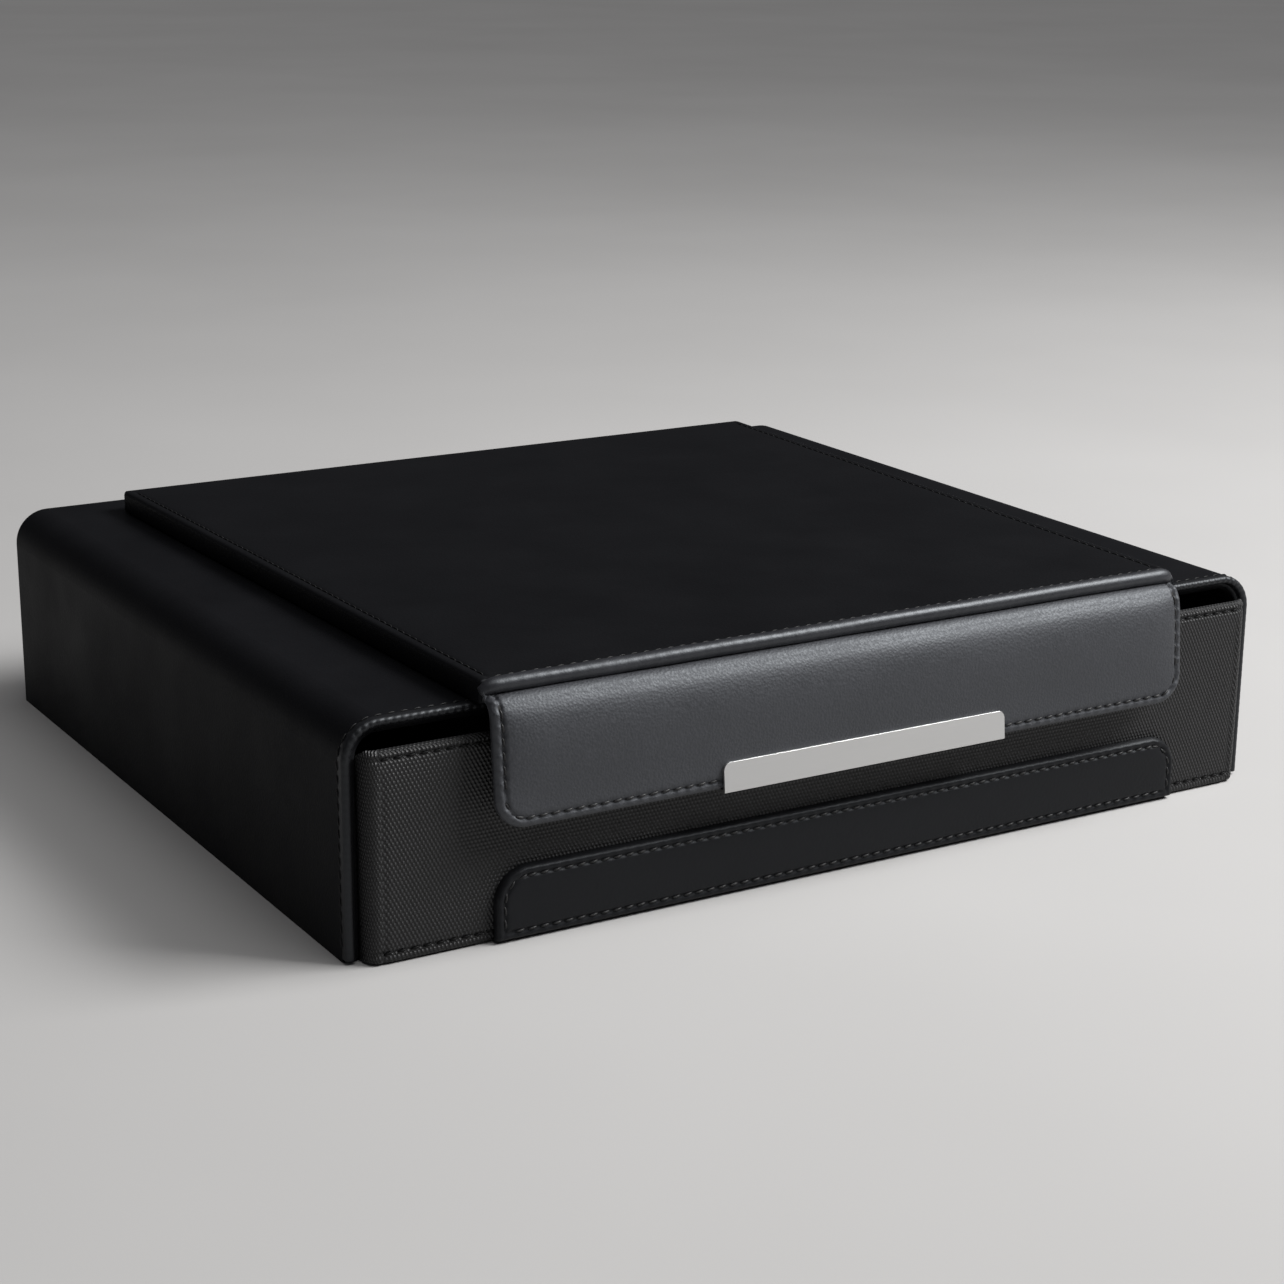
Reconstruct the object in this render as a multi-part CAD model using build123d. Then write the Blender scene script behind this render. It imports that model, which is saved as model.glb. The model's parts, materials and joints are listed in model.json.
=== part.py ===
from build123d import *
import math
import os

# A low leather-covered jewellery box for cufflinks: a lidded tray above, a full-front drawer below,
# and a flap with a metal bar that hangs from the lid over the drawer front. Millimetres.
# While modelling, y = 0 is the front edge of the case; place_all() moves the origin at the end.

# Case, outside
CASE_W = 280.0
CASE_D = 240.0
CASE_H = 60.0
BOARD = 3.0  # side, back, base and top boards
SKIN = 0.8  # leatherette glued over the boards
BASE_SHEET = 1.0  # sheet the box stands on
TOP_ROUND = 10.0  # outside radius of the two long top edges
BACK_ROUND = 2.0  # upright back corners
BINDING_DEPTH = 2.6  # turned-over front edge, front to back
BINDING_ROUND = 1.2

# Clearances
SLIDE_GAP = 0.8  # drawer front to the case's side walls
SEAT_GAP = 0.3  # soft piece or sliding piece to what it rests on
LAP_GAP = 0.1  # halved joints and pockets

# Lid
LID_SIDE_FRONT = 34.2  # case top left bare beside the lid, at its front
LID_SIDE_BACK = 29.0  # and at its back
LID_BACK_LAND = 15.0  # case top left bare behind the lid
LID_FRONT = 2.8  # how far the lid's pad stands in front of the case
LID_T = 6.4
LID_BOARD = 2.5
LID_LINING = 0.6
LID_EDGE = 3.2  # leather round the lid board's edge
LID_OPENS = 105.0  # degrees
PIPING_R = 1.5
PIPING_SEAT = 1.2  # centre of the piping in front of the lid's front face
PIPING_PROUD = 0.2  # piping above the lid's top

# Flap
FLAP_REACH = 12.6  # outer face at the flap's lower edge, in front of the case
FLAP_COVERS = 28.8  # lower edge below the case top
FLAP_DROP = 1.9  # top of the flap's bend below the lid's top
FLAP_BEND = 7.0  # outside radius of the bend
FLAP_LEAN = 5.0  # degrees, lower edge forward
FLAP_START = 34.0  # degrees from the top of the bend where the flap begins
FLAP_CORNER = 8.0
FLAP_LEATHER = 1.0
FLAP_CORE = 1.2
FLAP_LINING = 0.8
FLAP_EDGE = 2.0  # leather turned over the core's edge
FLAP_OPENS = 95.0  # degrees

# Metal bar clipped on the flap's lower edge
BAR_W = 87.0
BAR_H = 7.8
BAR_T = 0.8
BAR_BACK_H = 5.0
BAR_CORNER = 2.0
RIVET_R = 1.0
RIVET_UP = 2.8  # rivet above the flap's lower edge
RIVET_IN = 11.5  # outer rivets in from the bar's ends

# Magnets in the flap and steel plates behind the drawer's cloth
MAGNET_W = 14.0
MAGNET_H = 8.0
MAGNET_IN = 39.8  # magnet centres in from the flap's sides
MAGNET_UP = 12.0  # centre above the flap's lower edge
PLATE_W = 18.0
PLATE_H = 12.0
PLATE_T = 0.8

# Top opening and the tray under it
OPENING_SIDE = 8.8  # lid's overlap on the case beside the opening, at its front
OPENING_FRONT = 14.0
OPENING_LAND = 13.0  # lid's overlap behind the opening
TRAY_WALL = 2.5
TRAY_FLOOR = 2.5
TRAY_DEPTH = 29.0  # underside of the tray floor below the case top
FELT = 0.6
DIVIDER_T = 2.0
DIVIDER_H = 15.0
TRAY_COLUMNS = 4
TRAY_CELL_D = 42.0
TRAY_CELL_ROWS = 2
ROLL_PITCH = 21.0  # least room for one roll; as many as fit fill the bay
ROLL_H = 14.0
ROLL_BULGE_H = 5.0  # height of a roll's widest line
ROLL_TUCK = 2.0  # how far each lower side is drawn in
ROLL_END_ROUND = 2.5
HINGE_TAPE_T = 0.7
HINGE_TAPE_H = 18.0
HINGE_TAPE_SHORT = 4.0  # tape short of the opening's sides

# Drawer
FRONT_PROUD = 4.4  # cloth face in front of the case edge
FRONT_INSIDE = 2.2  # drawer front behind the case edge
FRONT_BOTTOM = 0.5
FRONT_TOP_GAP = 2.7  # dark gap between the drawer front and the case top
FRONT_SIDE_ROLL = 8.0  # width of the rounded side edges
FRONT_SIDE_DROP = 4.9  # how far they fall back
FRONT_TOP_ROLL = 3.0
FRONT_CORNER = 2.4  # top corners, inside the case's shoulders
FRONT_CLOTH = 3.2  # padding and cloth in front of the board
FRONT_WRAP = 1.0  # cloth round the board's edges
DRAWER_SIDE = 2.5
DRAWER_BOTTOM = 2.0
DRAWER_RIM_GAP = 0.5  # drawer sides under the ledges
DRAWER_SIDE_GAP = 1.4
DRAWER_BACK_GAP = 1.0
DRAWER_DIVIDER_LOW = 4.5  # dividers below the drawer's rim
DRAWER_COLUMNS = 3
DRAWER_TRAVEL = 115.0
RUNNER_W = 12.0
RUNNER_H = 0.8
RUNNER_IN = 36.2  # middle of each runner in from the side board
LEDGE_W = 4.0
LEDGE_H = 2.0
STOP_W = 40.0
STOP_D = 4.0
STOP_H = 3.2

# Leather patch on the lower drawer front
PATCH_WIDER = 0.8  # patch wider than the flap on each side
PATCH_H = 18.5
PATCH_T = 2.4
PATCH_CORNER = 9.0
PATCH_EDGE_ROUND = 0.8

# Worked out from the sizes above
INNER_X = CASE_W / 2 - SKIN - BOARD
BASE_TOP = BASE_SHEET + BOARD
TOP_UNDER = CASE_H - SKIN - BOARD
BACK_INNER = CASE_D - SKIN - BOARD
LID_W_FRONT = CASE_W - 2 * LID_SIDE_FRONT
LID_W_BACK = CASE_W - 2 * LID_SIDE_BACK
LID_BACK = CASE_D - LID_BACK_LAND
LID_Z = CASE_H + SEAT_GAP
LID_TOP = LID_Z + LID_T
HINGE_Y = LID_BACK - LID_T / 2
HINGE_Z = LID_Z + LID_T / 2
FLAP_W = LID_W_FRONT
FLAP_BOTTOM = CASE_H - FLAP_COVERS
FLAP_T = FLAP_LEATHER + FLAP_CORE + FLAP_LINING
MAGNET_X = FLAP_W / 2 - MAGNET_IN
TRAY_FLOOR_Z = CASE_H - TRAY_DEPTH
TRAY_FLOOR_TOP = TRAY_FLOOR_Z + TRAY_FLOOR
TRAY_FELT_TOP = TRAY_FLOOR_TOP + FELT
OPENING_W = LID_W_FRONT - 2 * OPENING_SIDE
OPENING_BACK = LID_BACK - OPENING_LAND
DRAWER_Z = BASE_TOP + RUNNER_H + SEAT_GAP
DRAWER_FLOOR_TOP = DRAWER_Z + DRAWER_BOTTOM
DRAWER_TOP_Z = TRAY_FLOOR_Z - LEDGE_H - DRAWER_RIM_GAP
DRAWER_OUT_X = INNER_X - DRAWER_SIDE_GAP
DRAWER_IN_X = DRAWER_OUT_X - DRAWER_SIDE
DRAWER_BACK_Y = BACK_INNER - DRAWER_BACK_GAP
DRAWER_IN_BACK = DRAWER_BACK_Y - DRAWER_SIDE
FRONT_X = INNER_X - SLIDE_GAP
FRONT_TOP = TOP_UNDER - FRONT_TOP_GAP
PATCH_W = FLAP_W + 2 * PATCH_WIDER
PATCH_TOP = FRONT_BOTTOM + PATCH_H
ROLLS_FRONT = OPENING_FRONT + TRAY_CELL_ROWS * (TRAY_CELL_D + DIVIDER_T)


def block(x0, x1, y0, y1, z0, z1):
    """A board given by its six faces."""
    middle = Pos((x0 + x1) / 2, (y0 + y1) / 2, (z0 + z1) / 2)
    return middle * Box(x1 - x0, y1 - y0, z1 - z0)


def both_sides(x0, x1, y0, y1, z0, z1):
    """A board on the right and its twin on the left."""
    right = block(x0, x1, y0, y1, z0, z1)
    return right, right.mirror(Plane.YZ)


def along_y(face, y0, y1):
    """Extrude a face drawn in XZ from y0 to y1."""
    return Pos(0, y1, 0) * extrude(face, y1 - y0)


# ---------------------------------------------------------------- case


def arch(half_w, z0, z1, radius):
    """XZ outline, square at the foot and rounded at the two top corners."""
    edges = Polyline((-half_w, z1 - radius), (-half_w, z0), (half_w, z0), (half_w, z1 - radius))
    edges += RadiusArc((half_w, z1 - radius), (half_w - radius, z1), -radius)
    edges += Line((half_w - radius, z1), (-half_w + radius, z1))
    edges += RadiusArc((-half_w + radius, z1), (-half_w, z1 - radius), -radius)
    return make_face(Plane.XZ * edges)


def arch_shell(outside, inside, y0, y1):
    """Sides and top between two depths inward from the case's outer face."""
    outer = arch(CASE_W / 2 - outside, BASE_SHEET, CASE_H - outside, TOP_ROUND - outside)
    inner = arch(CASE_W / 2 - inside, 0, CASE_H - inside, TOP_ROUND - inside)
    return along_y(outer, y0, y1) - along_y(inner, y0 - 1, y1 + 1)


def lid_opening():
    """The cut through the top that the tray is reached by."""
    half = OPENING_W / 2
    return block(-half, half, OPENING_FRONT, OPENING_BACK, TOP_UNDER - 1, CASE_H + 1)


def case_boards():
    """Base, two sides with their curved shoulders, back, and the top with its opening."""
    ring = arch_shell(SKIN, SKIN + BOARD, BINDING_DEPTH, CASE_D - SKIN)
    shoulder = CASE_W / 2 - TOP_ROUND
    side = ring & block(shoulder, CASE_W, 0, CASE_D, 0, CASE_H)
    top = ring & block(-shoulder, shoulder, 0, CASE_D, TOP_UNDER - 1, CASE_H)
    return {
        "case_base_board": block(-INNER_X, INNER_X, BINDING_DEPTH, CASE_D - SKIN, BASE_SHEET, BASE_TOP),
        "case_right_board": side,
        "case_left_board": side.mirror(Plane.YZ),
        "case_top_board": top - lid_opening(),
        "case_back_board": back_board(),
    }


def back_board():
    """Back board, its top corners following the case's shoulders."""
    inner = arch(INNER_X, BASE_TOP, TOP_UNDER, TOP_ROUND - SKIN - BOARD)
    return along_y(inner, BACK_INNER, CASE_D - SKIN)


def case_cover():
    """One leatherette skin over the sides, top and back."""
    outer = along_y(arch(CASE_W / 2, BASE_SHEET, CASE_H, TOP_ROUND), BINDING_DEPTH, CASE_D)
    upright = [e for e in outer.edges().filter_by(Axis.Z) if e.center().Y > CASE_D - 1]
    outer = fillet(upright, BACK_ROUND)
    core = arch(CASE_W / 2 - SKIN, 0, CASE_H - SKIN, TOP_ROUND - SKIN)
    return outer - along_y(core, 0, CASE_D - SKIN) - lid_opening()


def front_binding():
    """The leatherette turned over the front edges of the sides and top."""
    band = arch_shell(0, SKIN + BOARD, 0, BINDING_DEPTH)
    front = [e for e in band.edges() if abs(e.center().Y) < 0.01 and e.center().Z > BASE_SHEET + 0.1]
    return fillet(front, BINDING_ROUND)


def base_sheet():
    """Flat sheet under the whole case, behind the drawer front."""
    half = CASE_W / 2
    sheet = block(-half, half, BINDING_DEPTH, CASE_D, 0, BASE_SHEET)
    corners = [e for e in sheet.edges().filter_by(Axis.Z) if e.center().Y > CASE_D - 1]
    return fillet(corners, BACK_ROUND)


def case_fittings():
    """Runners under the drawer, ledges under the tray floor and the drawer stop."""
    x0 = INNER_X - RUNNER_IN - RUNNER_W / 2
    runners = both_sides(x0, x0 + RUNNER_W, BINDING_DEPTH + 1, BACK_INNER, BASE_TOP, BASE_TOP + RUNNER_H)
    ledge_z = TRAY_FLOOR_Z - LEDGE_H
    ledges = both_sides(INNER_X - LEDGE_W, INNER_X, BINDING_DEPTH, BACK_INNER, ledge_z, TRAY_FLOOR_Z)
    stop_y = DRAWER_IN_BACK - DRAWER_TRAVEL - STOP_D
    stop_z = TRAY_FLOOR_Z - STOP_H
    return {
        "drawer_runner_right": runners[0],
        "drawer_runner_left": runners[1],
        "tray_ledge_right": ledges[0],
        "tray_ledge_left": ledges[1],
        "drawer_stop": block(-STOP_W / 2, STOP_W / 2, stop_y, stop_y + STOP_D, stop_z, TRAY_FLOOR_Z),
    }


# ---------------------------------------------------------------- tray


def tray_shell():
    """Tray floor, its four walls under the edges of the opening, and the felt on it."""
    half = OPENING_W / 2
    outer = half + TRAY_WALL
    z0 = TRAY_FLOOR_TOP
    z1 = TOP_UNDER
    walls = both_sides(half, outer, OPENING_FRONT, OPENING_BACK, z0, z1)
    front = block(-outer, outer, OPENING_FRONT - TRAY_WALL, OPENING_FRONT, z0, z1)
    back = block(-outer, outer, OPENING_BACK, OPENING_BACK + TRAY_WALL, z0, z1)
    floor_front = FRONT_INSIDE + SLIDE_GAP
    return {
        "tray_floor": block(-INNER_X, INNER_X, floor_front, BACK_INNER, TRAY_FLOOR_Z, z0),
        "tray_wall_right": walls[0],
        "tray_wall_left": walls[1],
        "tray_wall_front": front,
        "tray_wall_back": back,
        "tray_felt": block(-half, half, OPENING_FRONT, OPENING_BACK, z0, TRAY_FELT_TOP),
    }


def halved_board(length, height, slots, from_top):
    """A divider lying along X with half-height slots where others cross it."""
    board = block(-length / 2, length / 2, -DIVIDER_T / 2, DIVIDER_T / 2, 0, height)
    half = DIVIDER_T / 2 + LAP_GAP
    for x in slots:
        z0, z1 = (height / 2, height + 1) if from_top else (-1, height / 2 + LAP_GAP)
        board -= block(x - half, x + half, -DIVIDER_T, DIVIDER_T, z0, z1)
    return board


def even_places(span, columns):
    """Centres of the dividers that part a span into equal columns."""
    return [span * k / columns - span / 2 for k in range(1, columns)]


def tray_dividers():
    """Cross dividers along X; the short ones cross the front row's divider in halved joints."""
    length = OPENING_W - 2 * LAP_GAP
    places = even_places(OPENING_W, TRAY_COLUMNS)
    row_y = OPENING_FRONT + TRAY_CELL_D + DIVIDER_T / 2
    last_y = ROLLS_FRONT - DIVIDER_T / 2
    lower = Pos(0, row_y, TRAY_FELT_TOP) * halved_board(length, DIVIDER_H, places, True)
    upper = Pos(0, last_y, TRAY_FELT_TOP) * halved_board(length, DIVIDER_H, [], True)
    short_d = last_y - DIVIDER_T / 2 - OPENING_FRONT - 2 * LAP_GAP
    middle = OPENING_FRONT + LAP_GAP + short_d / 2
    pieces = {"tray_divider_row": lower, "tray_divider_rolls": upper}
    for k, x in enumerate(places, 1):
        short = halved_board(short_d, DIVIDER_H, [row_y - middle], False)
        pieces[f"tray_divider_{k}"] = Pos(x, middle, TRAY_FELT_TOP) * Rot(0, 0, 90) * short
    return pieces


def roll_section(width):
    """Padded roll: flat foot, drawn-in lower sides and a full crown, in the YZ plane."""
    half = width / 2
    foot = half - ROLL_TUCK
    low = ROLL_BULGE_H / 2
    edges = Line((-foot, 0), (foot, 0))
    edges += ThreePointArc((foot, 0), (half - ROLL_TUCK * 0.22, low), (half, ROLL_BULGE_H))
    edges += ThreePointArc((half, ROLL_BULGE_H), (0, ROLL_H), (-half, ROLL_BULGE_H))
    edges += ThreePointArc((-half, ROLL_BULGE_H), (-half + ROLL_TUCK * 0.22, low), (-foot, 0))
    return make_face(Plane.YZ * edges)


def cufflink_rolls():
    """Padded rolls side by side; a cufflink's post is pushed down between two of them."""
    room = OPENING_BACK - HINGE_TAPE_T - ROLLS_FRONT
    count = int(room // ROLL_PITCH)
    pitch = room / count
    length = OPENING_W - 2 * SEAT_GAP
    one = extrude(roll_section(pitch - SEAT_GAP), length / 2, both=True)
    ends = [e for e in one.edges() if abs(abs(e.center().X) - length / 2) < 0.01 and e.center().Z > 1]
    one = fillet(ends, ROLL_END_ROUND)
    pieces = {}
    for k in range(count):
        y = ROLLS_FRONT + pitch * (k + 0.5)
        pieces[f"cufflink_roll_{k + 1}"] = Pos(0, y, TRAY_FELT_TOP) * one
    return pieces


def hinge_tape():
    """Tape glued down the back edge of the opening, the lid's hinge."""
    half = OPENING_W / 2 - HINGE_TAPE_SHORT
    z1 = CASE_H + SEAT_GAP / 2
    return block(-half, half, OPENING_BACK - HINGE_TAPE_T, OPENING_BACK, z1 - HINGE_TAPE_H, z1)


# ---------------------------------------------------------------- lid


def lid_plate(inset, z0, z1):
    """The lid's outline, wider at the back, drawn in by an inset."""
    front = -LID_FRONT + inset
    back = LID_BACK - inset
    x_front = LID_W_FRONT / 2 - inset
    x_back = LID_W_BACK / 2 - inset
    edges = Polyline((-x_front, front), (x_front, front), (x_back, back), (-x_back, back), close=True)
    return Pos(0, 0, z0) * extrude(make_face(edges), z1 - z0)


def lid_cover():
    """Leather over thin padding, its sides and back rolled round the board."""
    pad = lid_plate(0, LID_Z, LID_TOP)
    rolled = [e for e in pad.edges() if e.center().Y > 0 and abs(e.center().Z - HINGE_Z) > 1]
    pad = fillet(rolled, LID_T / 2 - 0.1)
    return pad - lid_plate(LID_EDGE, LID_Z - 1, LID_Z + LID_LINING + LID_BOARD)


def lid_piping():
    """Corded bead along the lid's front edge, flat where it is sewn to the lid."""
    y = -LID_FRONT - PIPING_SEAT
    z = LID_TOP + PIPING_PROUD - PIPING_R
    bead = Pos(0, y, z) * Rot(0, 90, 0) * Cylinder(PIPING_R, LID_W_FRONT)
    bead = fillet(bead.edges(), PIPING_R * 0.6)
    return bead - block(-LID_W_FRONT, LID_W_FRONT, -LID_FRONT, 0, 0, LID_TOP * 2)


def lid_pieces():
    z_board = LID_Z + LID_LINING
    return {
        "lid_cover": lid_cover(),
        "lid_board": lid_plate(LID_EDGE, z_board, z_board + LID_BOARD),
        "lid_lining": lid_plate(LID_EDGE, LID_Z, z_board),
        "lid_piping": lid_piping(),
    }


# ---------------------------------------------------------------- flap


LEAN = math.radians(FLAP_LEAN)
START = math.radians(FLAP_START)
TANGENT = math.pi / 2 - LEAN  # where the bend runs into the straight hang
BEND_Z = LID_TOP - FLAP_DROP - FLAP_BEND
HANG = (BEND_Z + FLAP_BEND * math.sin(LEAN) - FLAP_BOTTOM) / math.cos(LEAN)
BEND_Y = -FLAP_REACH + FLAP_BEND * math.cos(LEAN) + HANG * math.sin(LEAN)


def bend_point(depth, angle):
    """Point on the bend, a depth in from the outer face, at an angle from its top."""
    radius = FLAP_BEND - depth
    return BEND_Y - radius * math.sin(angle), BEND_Z + radius * math.cos(angle)


def hang_point(depth, up):
    """Point on the straight hang, a depth in and a height up from the lower edge."""
    y = -FLAP_REACH + up * math.sin(LEAN) + depth * math.cos(LEAN)
    z = FLAP_BOTTOM + up * math.cos(LEAN) - depth * math.sin(LEAN)
    return y, z


def flap_section(outer, inner, inset):
    """YZ outline of one layer of the flap between two depths."""
    begin = START + inset / FLAP_BEND
    middle = (begin + TANGENT) / 2
    edges = ThreePointArc(bend_point(outer, begin), bend_point(outer, middle), bend_point(outer, TANGENT))
    edges += Polyline(bend_point(outer, TANGENT), hang_point(outer, inset), hang_point(inner, inset),
                      bend_point(inner, TANGENT))
    edges += ThreePointArc(bend_point(inner, TANGENT), bend_point(inner, middle), bend_point(inner, begin))
    edges += Line(bend_point(inner, begin), bend_point(outer, begin))
    return make_face(Plane.YZ * edges)


def flap_front_outline(inset):
    """Front view of the flap: square above, rounded lower corners."""
    half = FLAP_W / 2 - inset
    z0 = FLAP_BOTTOM - FLAP_T * math.sin(LEAN)
    body = block(-half, half, -3 * FLAP_REACH, 0, z0 + inset * math.cos(LEAN), LID_TOP)
    lower = [e for e in body.edges().filter_by(Axis.Y) if e.center().Z < FLAP_BOTTOM + inset]
    return fillet(lower, FLAP_CORNER - inset)


def flap_layer(outer, inner, inset):
    """One layer of the flap, cut to its front outline."""
    layer = extrude(flap_section(outer, inner, inset), FLAP_W / 2 - inset, both=True)
    return layer & flap_front_outline(inset)


def magnet_block(w, h, depth0, depth1, x):
    """A small plate lying in the hang of the flap."""
    low = MAGNET_UP - h / 2
    corners = [hang_point(depth0, low), hang_point(depth0, low + h), hang_point(depth1, low + h),
               hang_point(depth1, low)]
    return Pos(x, 0, 0) * extrude(make_face(Plane.YZ * Polyline(*corners, close=True)), w / 2, both=True)


def on_both_magnets(w, h, depth0, depth1):
    """The same small plate at both magnet places."""
    return [magnet_block(w, h, depth0, depth1, x) for x in (-MAGNET_X, MAGNET_X)]


def flap_cover():
    """Outer leather with its edges turned round the core, and the roll it hinges in."""
    y, z = bend_point(FLAP_T / 2, START)
    roll = Pos(0, y, z) * Rot(0, 90, 0) * Cylinder(FLAP_T / 2, FLAP_W)
    shell = flap_layer(0, FLAP_T, 0) + roll
    return shell - flap_layer(FLAP_LEATHER, FLAP_T, FLAP_EDGE)


def flap_bar():
    """Folded metal bar gripping the lower edge, its upper corners rounded."""
    outline = [(-BAR_T, -BAR_T), (-BAR_T, BAR_H - BAR_T), (0, BAR_H - BAR_T), (0, 0), (FLAP_T, 0),
               (FLAP_T, BAR_BACK_H), (FLAP_T + BAR_T, BAR_BACK_H), (FLAP_T + BAR_T, -BAR_T)]
    points = [hang_point(depth, up) for depth, up in outline]
    bar = extrude(make_face(Plane.YZ * Polyline(*points, close=True)), BAR_W / 2, both=True)
    corner = [e for e in bar.edges() if abs(abs(e.center().X) - BAR_W / 2) < 0.01
              and abs(e.length - BAR_T) < 0.01 and e.center().Z > FLAP_BOTTOM + BAR_BACK_H + 0.5]
    bar = fillet(corner, BAR_CORNER)
    for rivet in bar_rivets(RIVET_R + LAP_GAP / 2):
        bar -= rivet
    return bar


def bar_rivets(radius):
    """Rivets through the back leg of the bar into the flap's edge."""
    y, z = hang_point(FLAP_T + BAR_T / 2, RIVET_UP)
    spread = BAR_W / 2 - RIVET_IN
    return [Pos(x, y, z) * Rot(90 - FLAP_LEAN, 0, 0) * Cylinder(radius, BAR_T) for x in (-spread, 0, spread)]


def flap_pieces():
    core = flap_layer(FLAP_LEATHER, FLAP_LEATHER + FLAP_CORE, FLAP_EDGE)
    inner = FLAP_LEATHER + FLAP_CORE
    for pocket in on_both_magnets(MAGNET_W + 2 * LAP_GAP, MAGNET_H + 2 * LAP_GAP, 0, FLAP_T):
        core -= pocket
    return {
        "flap_cover": flap_cover(),
        "flap_core": core,
        "flap_lining": flap_layer(inner, FLAP_T, FLAP_EDGE),
        "flap_magnets": Compound(children=on_both_magnets(MAGNET_W, MAGNET_H, FLAP_LEATHER, inner)),
        "flap_bar": flap_bar(),
        "bar_rivets": Compound(children=bar_rivets(RIVET_R)),
    }


# ---------------------------------------------------------------- drawer


def front_plan():
    """Plan of the drawer front: flat face with broad rounded sides."""
    flat = FRONT_X - FRONT_SIDE_ROLL
    fall = FRONT_SIDE_DROP - FRONT_PROUD
    edges = Line((-flat, -FRONT_PROUD), (flat, -FRONT_PROUD))
    edges += TangentArc((flat, -FRONT_PROUD), (FRONT_X, fall), tangent=(1, 0))
    edges += Polyline((FRONT_X, fall), (FRONT_X, FRONT_INSIDE), (-FRONT_X, FRONT_INSIDE), (-FRONT_X, fall))
    edges += TangentArc((-flat, -FRONT_PROUD), (-FRONT_X, fall), tangent=(-1, 0))
    return make_face(edges)


def front_profile():
    """Side view of the drawer front: square foot, rolled top."""
    shoulder = FRONT_TOP - FRONT_TOP_ROLL
    back = -FRONT_PROUD + FRONT_TOP_ROLL
    edges = Polyline((back, FRONT_TOP), (FRONT_INSIDE, FRONT_TOP), (FRONT_INSIDE, FRONT_BOTTOM),
                     (-FRONT_PROUD, FRONT_BOTTOM), (-FRONT_PROUD, shoulder))
    edges += TangentArc((-FRONT_PROUD, shoulder), (back, FRONT_TOP), tangent=(0, 1))
    return make_face(Plane.YZ * edges)


def front_slab(inset, y0, y1):
    """The drawer front's outline, its top corners inside the case's shoulders."""
    face = arch(FRONT_X - inset, FRONT_BOTTOM + inset, FRONT_TOP - inset, FRONT_CORNER - inset)
    return along_y(face, y0, y1)


def front_board():
    """Board behind the drawer's cloth, recessed for the two steel plates."""
    board = front_slab(FRONT_WRAP, -FRONT_PROUD + FRONT_CLOTH, FRONT_INSIDE)
    for plate in strike_plates(LAP_GAP):
        board -= plate
    return board


def strike_plates(gap):
    """Steel plates let into the board's face, opposite the flap's magnets."""
    y0 = -FRONT_PROUD + FRONT_CLOTH
    z = FLAP_BOTTOM + MAGNET_UP
    half_w = PLATE_W / 2 + gap
    half_h = PLATE_H / 2 + gap
    return both_sides(MAGNET_X - half_w, MAGNET_X + half_w, y0, y0 + PLATE_T, z - half_h, z + half_h)


def front_cover():
    """Padded cloth face wrapped round the edges of the front board."""
    pillow = Pos(0, 0, FRONT_BOTTOM) * extrude(front_plan(), FRONT_TOP - FRONT_BOTTOM)
    pillow &= extrude(front_profile(), FRONT_X, both=True)
    pillow &= front_slab(0, -FRONT_PROUD, FRONT_INSIDE)
    return pillow - front_slab(FRONT_WRAP, -FRONT_PROUD + FRONT_CLOTH, FRONT_INSIDE + 1)


def front_patch():
    """Leather patch sewn on the lower front, its top corners rounded and its edges rolled."""
    half = PATCH_W / 2
    face = -FRONT_PROUD - PATCH_T
    patch = block(-half, half, face, -FRONT_PROUD, FRONT_BOTTOM, PATCH_TOP)
    upper = [e for e in patch.edges().filter_by(Axis.Y) if e.center().Z > PATCH_TOP - 0.1]
    patch = fillet(upper, PATCH_CORNER)
    rim = [e for e in patch.edges() if abs(e.center().Y - face) < 0.01 and e.center().Z > FRONT_BOTTOM + 0.1]
    return fillet(rim, PATCH_EDGE_ROUND)


def drawer_box():
    """Bottom, two sides and back of the drawer, and the felt in it."""
    y0 = FRONT_INSIDE
    sides = both_sides(DRAWER_IN_X, DRAWER_OUT_X, y0, DRAWER_IN_BACK, DRAWER_FLOOR_TOP, DRAWER_TOP_Z)
    bottom = block(-DRAWER_OUT_X, DRAWER_OUT_X, y0, DRAWER_BACK_Y, DRAWER_Z, DRAWER_FLOOR_TOP)
    back = block(-DRAWER_OUT_X, DRAWER_OUT_X, DRAWER_IN_BACK, DRAWER_BACK_Y, DRAWER_FLOOR_TOP, DRAWER_TOP_Z)
    felt_z = DRAWER_FLOOR_TOP + FELT
    return {
        "drawer_bottom": bottom,
        "drawer_side_right": sides[0],
        "drawer_side_left": sides[1],
        "drawer_back": back,
        "drawer_felt": block(-DRAWER_IN_X, DRAWER_IN_X, y0, DRAWER_IN_BACK, DRAWER_FLOOR_TOP, felt_z),
    }


def drawer_dividers():
    """One divider across the drawer, halved with those that run front to back."""
    z0 = DRAWER_FLOOR_TOP + FELT
    height = DRAWER_TOP_Z - DRAWER_DIVIDER_LOW - z0
    places = even_places(2 * DRAWER_IN_X, DRAWER_COLUMNS)
    middle = (FRONT_INSIDE + DRAWER_IN_BACK) / 2
    depth = DRAWER_IN_BACK - FRONT_INSIDE - 2 * LAP_GAP
    across = halved_board(2 * DRAWER_IN_X - 2 * LAP_GAP, height, places, True)
    pieces = {"drawer_divider_across": Pos(0, middle, z0) * across}
    for k, x in enumerate(places, 1):
        board = halved_board(depth, height, [0], False)
        pieces[f"drawer_divider_{k}"] = Pos(x, middle, z0) * Rot(0, 0, 90) * board
    return pieces


def drawer_pieces():
    return {
        "drawer_front_board": front_board(),
        "drawer_front_cover": front_cover(),
        "drawer_front_patch": front_patch(),
        "drawer_strike_plates": Compound(children=list(strike_plates(0))),
        **drawer_box(),
        **drawer_dividers(),
    }


# ---------------------------------------------------------------- assembly


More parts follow.
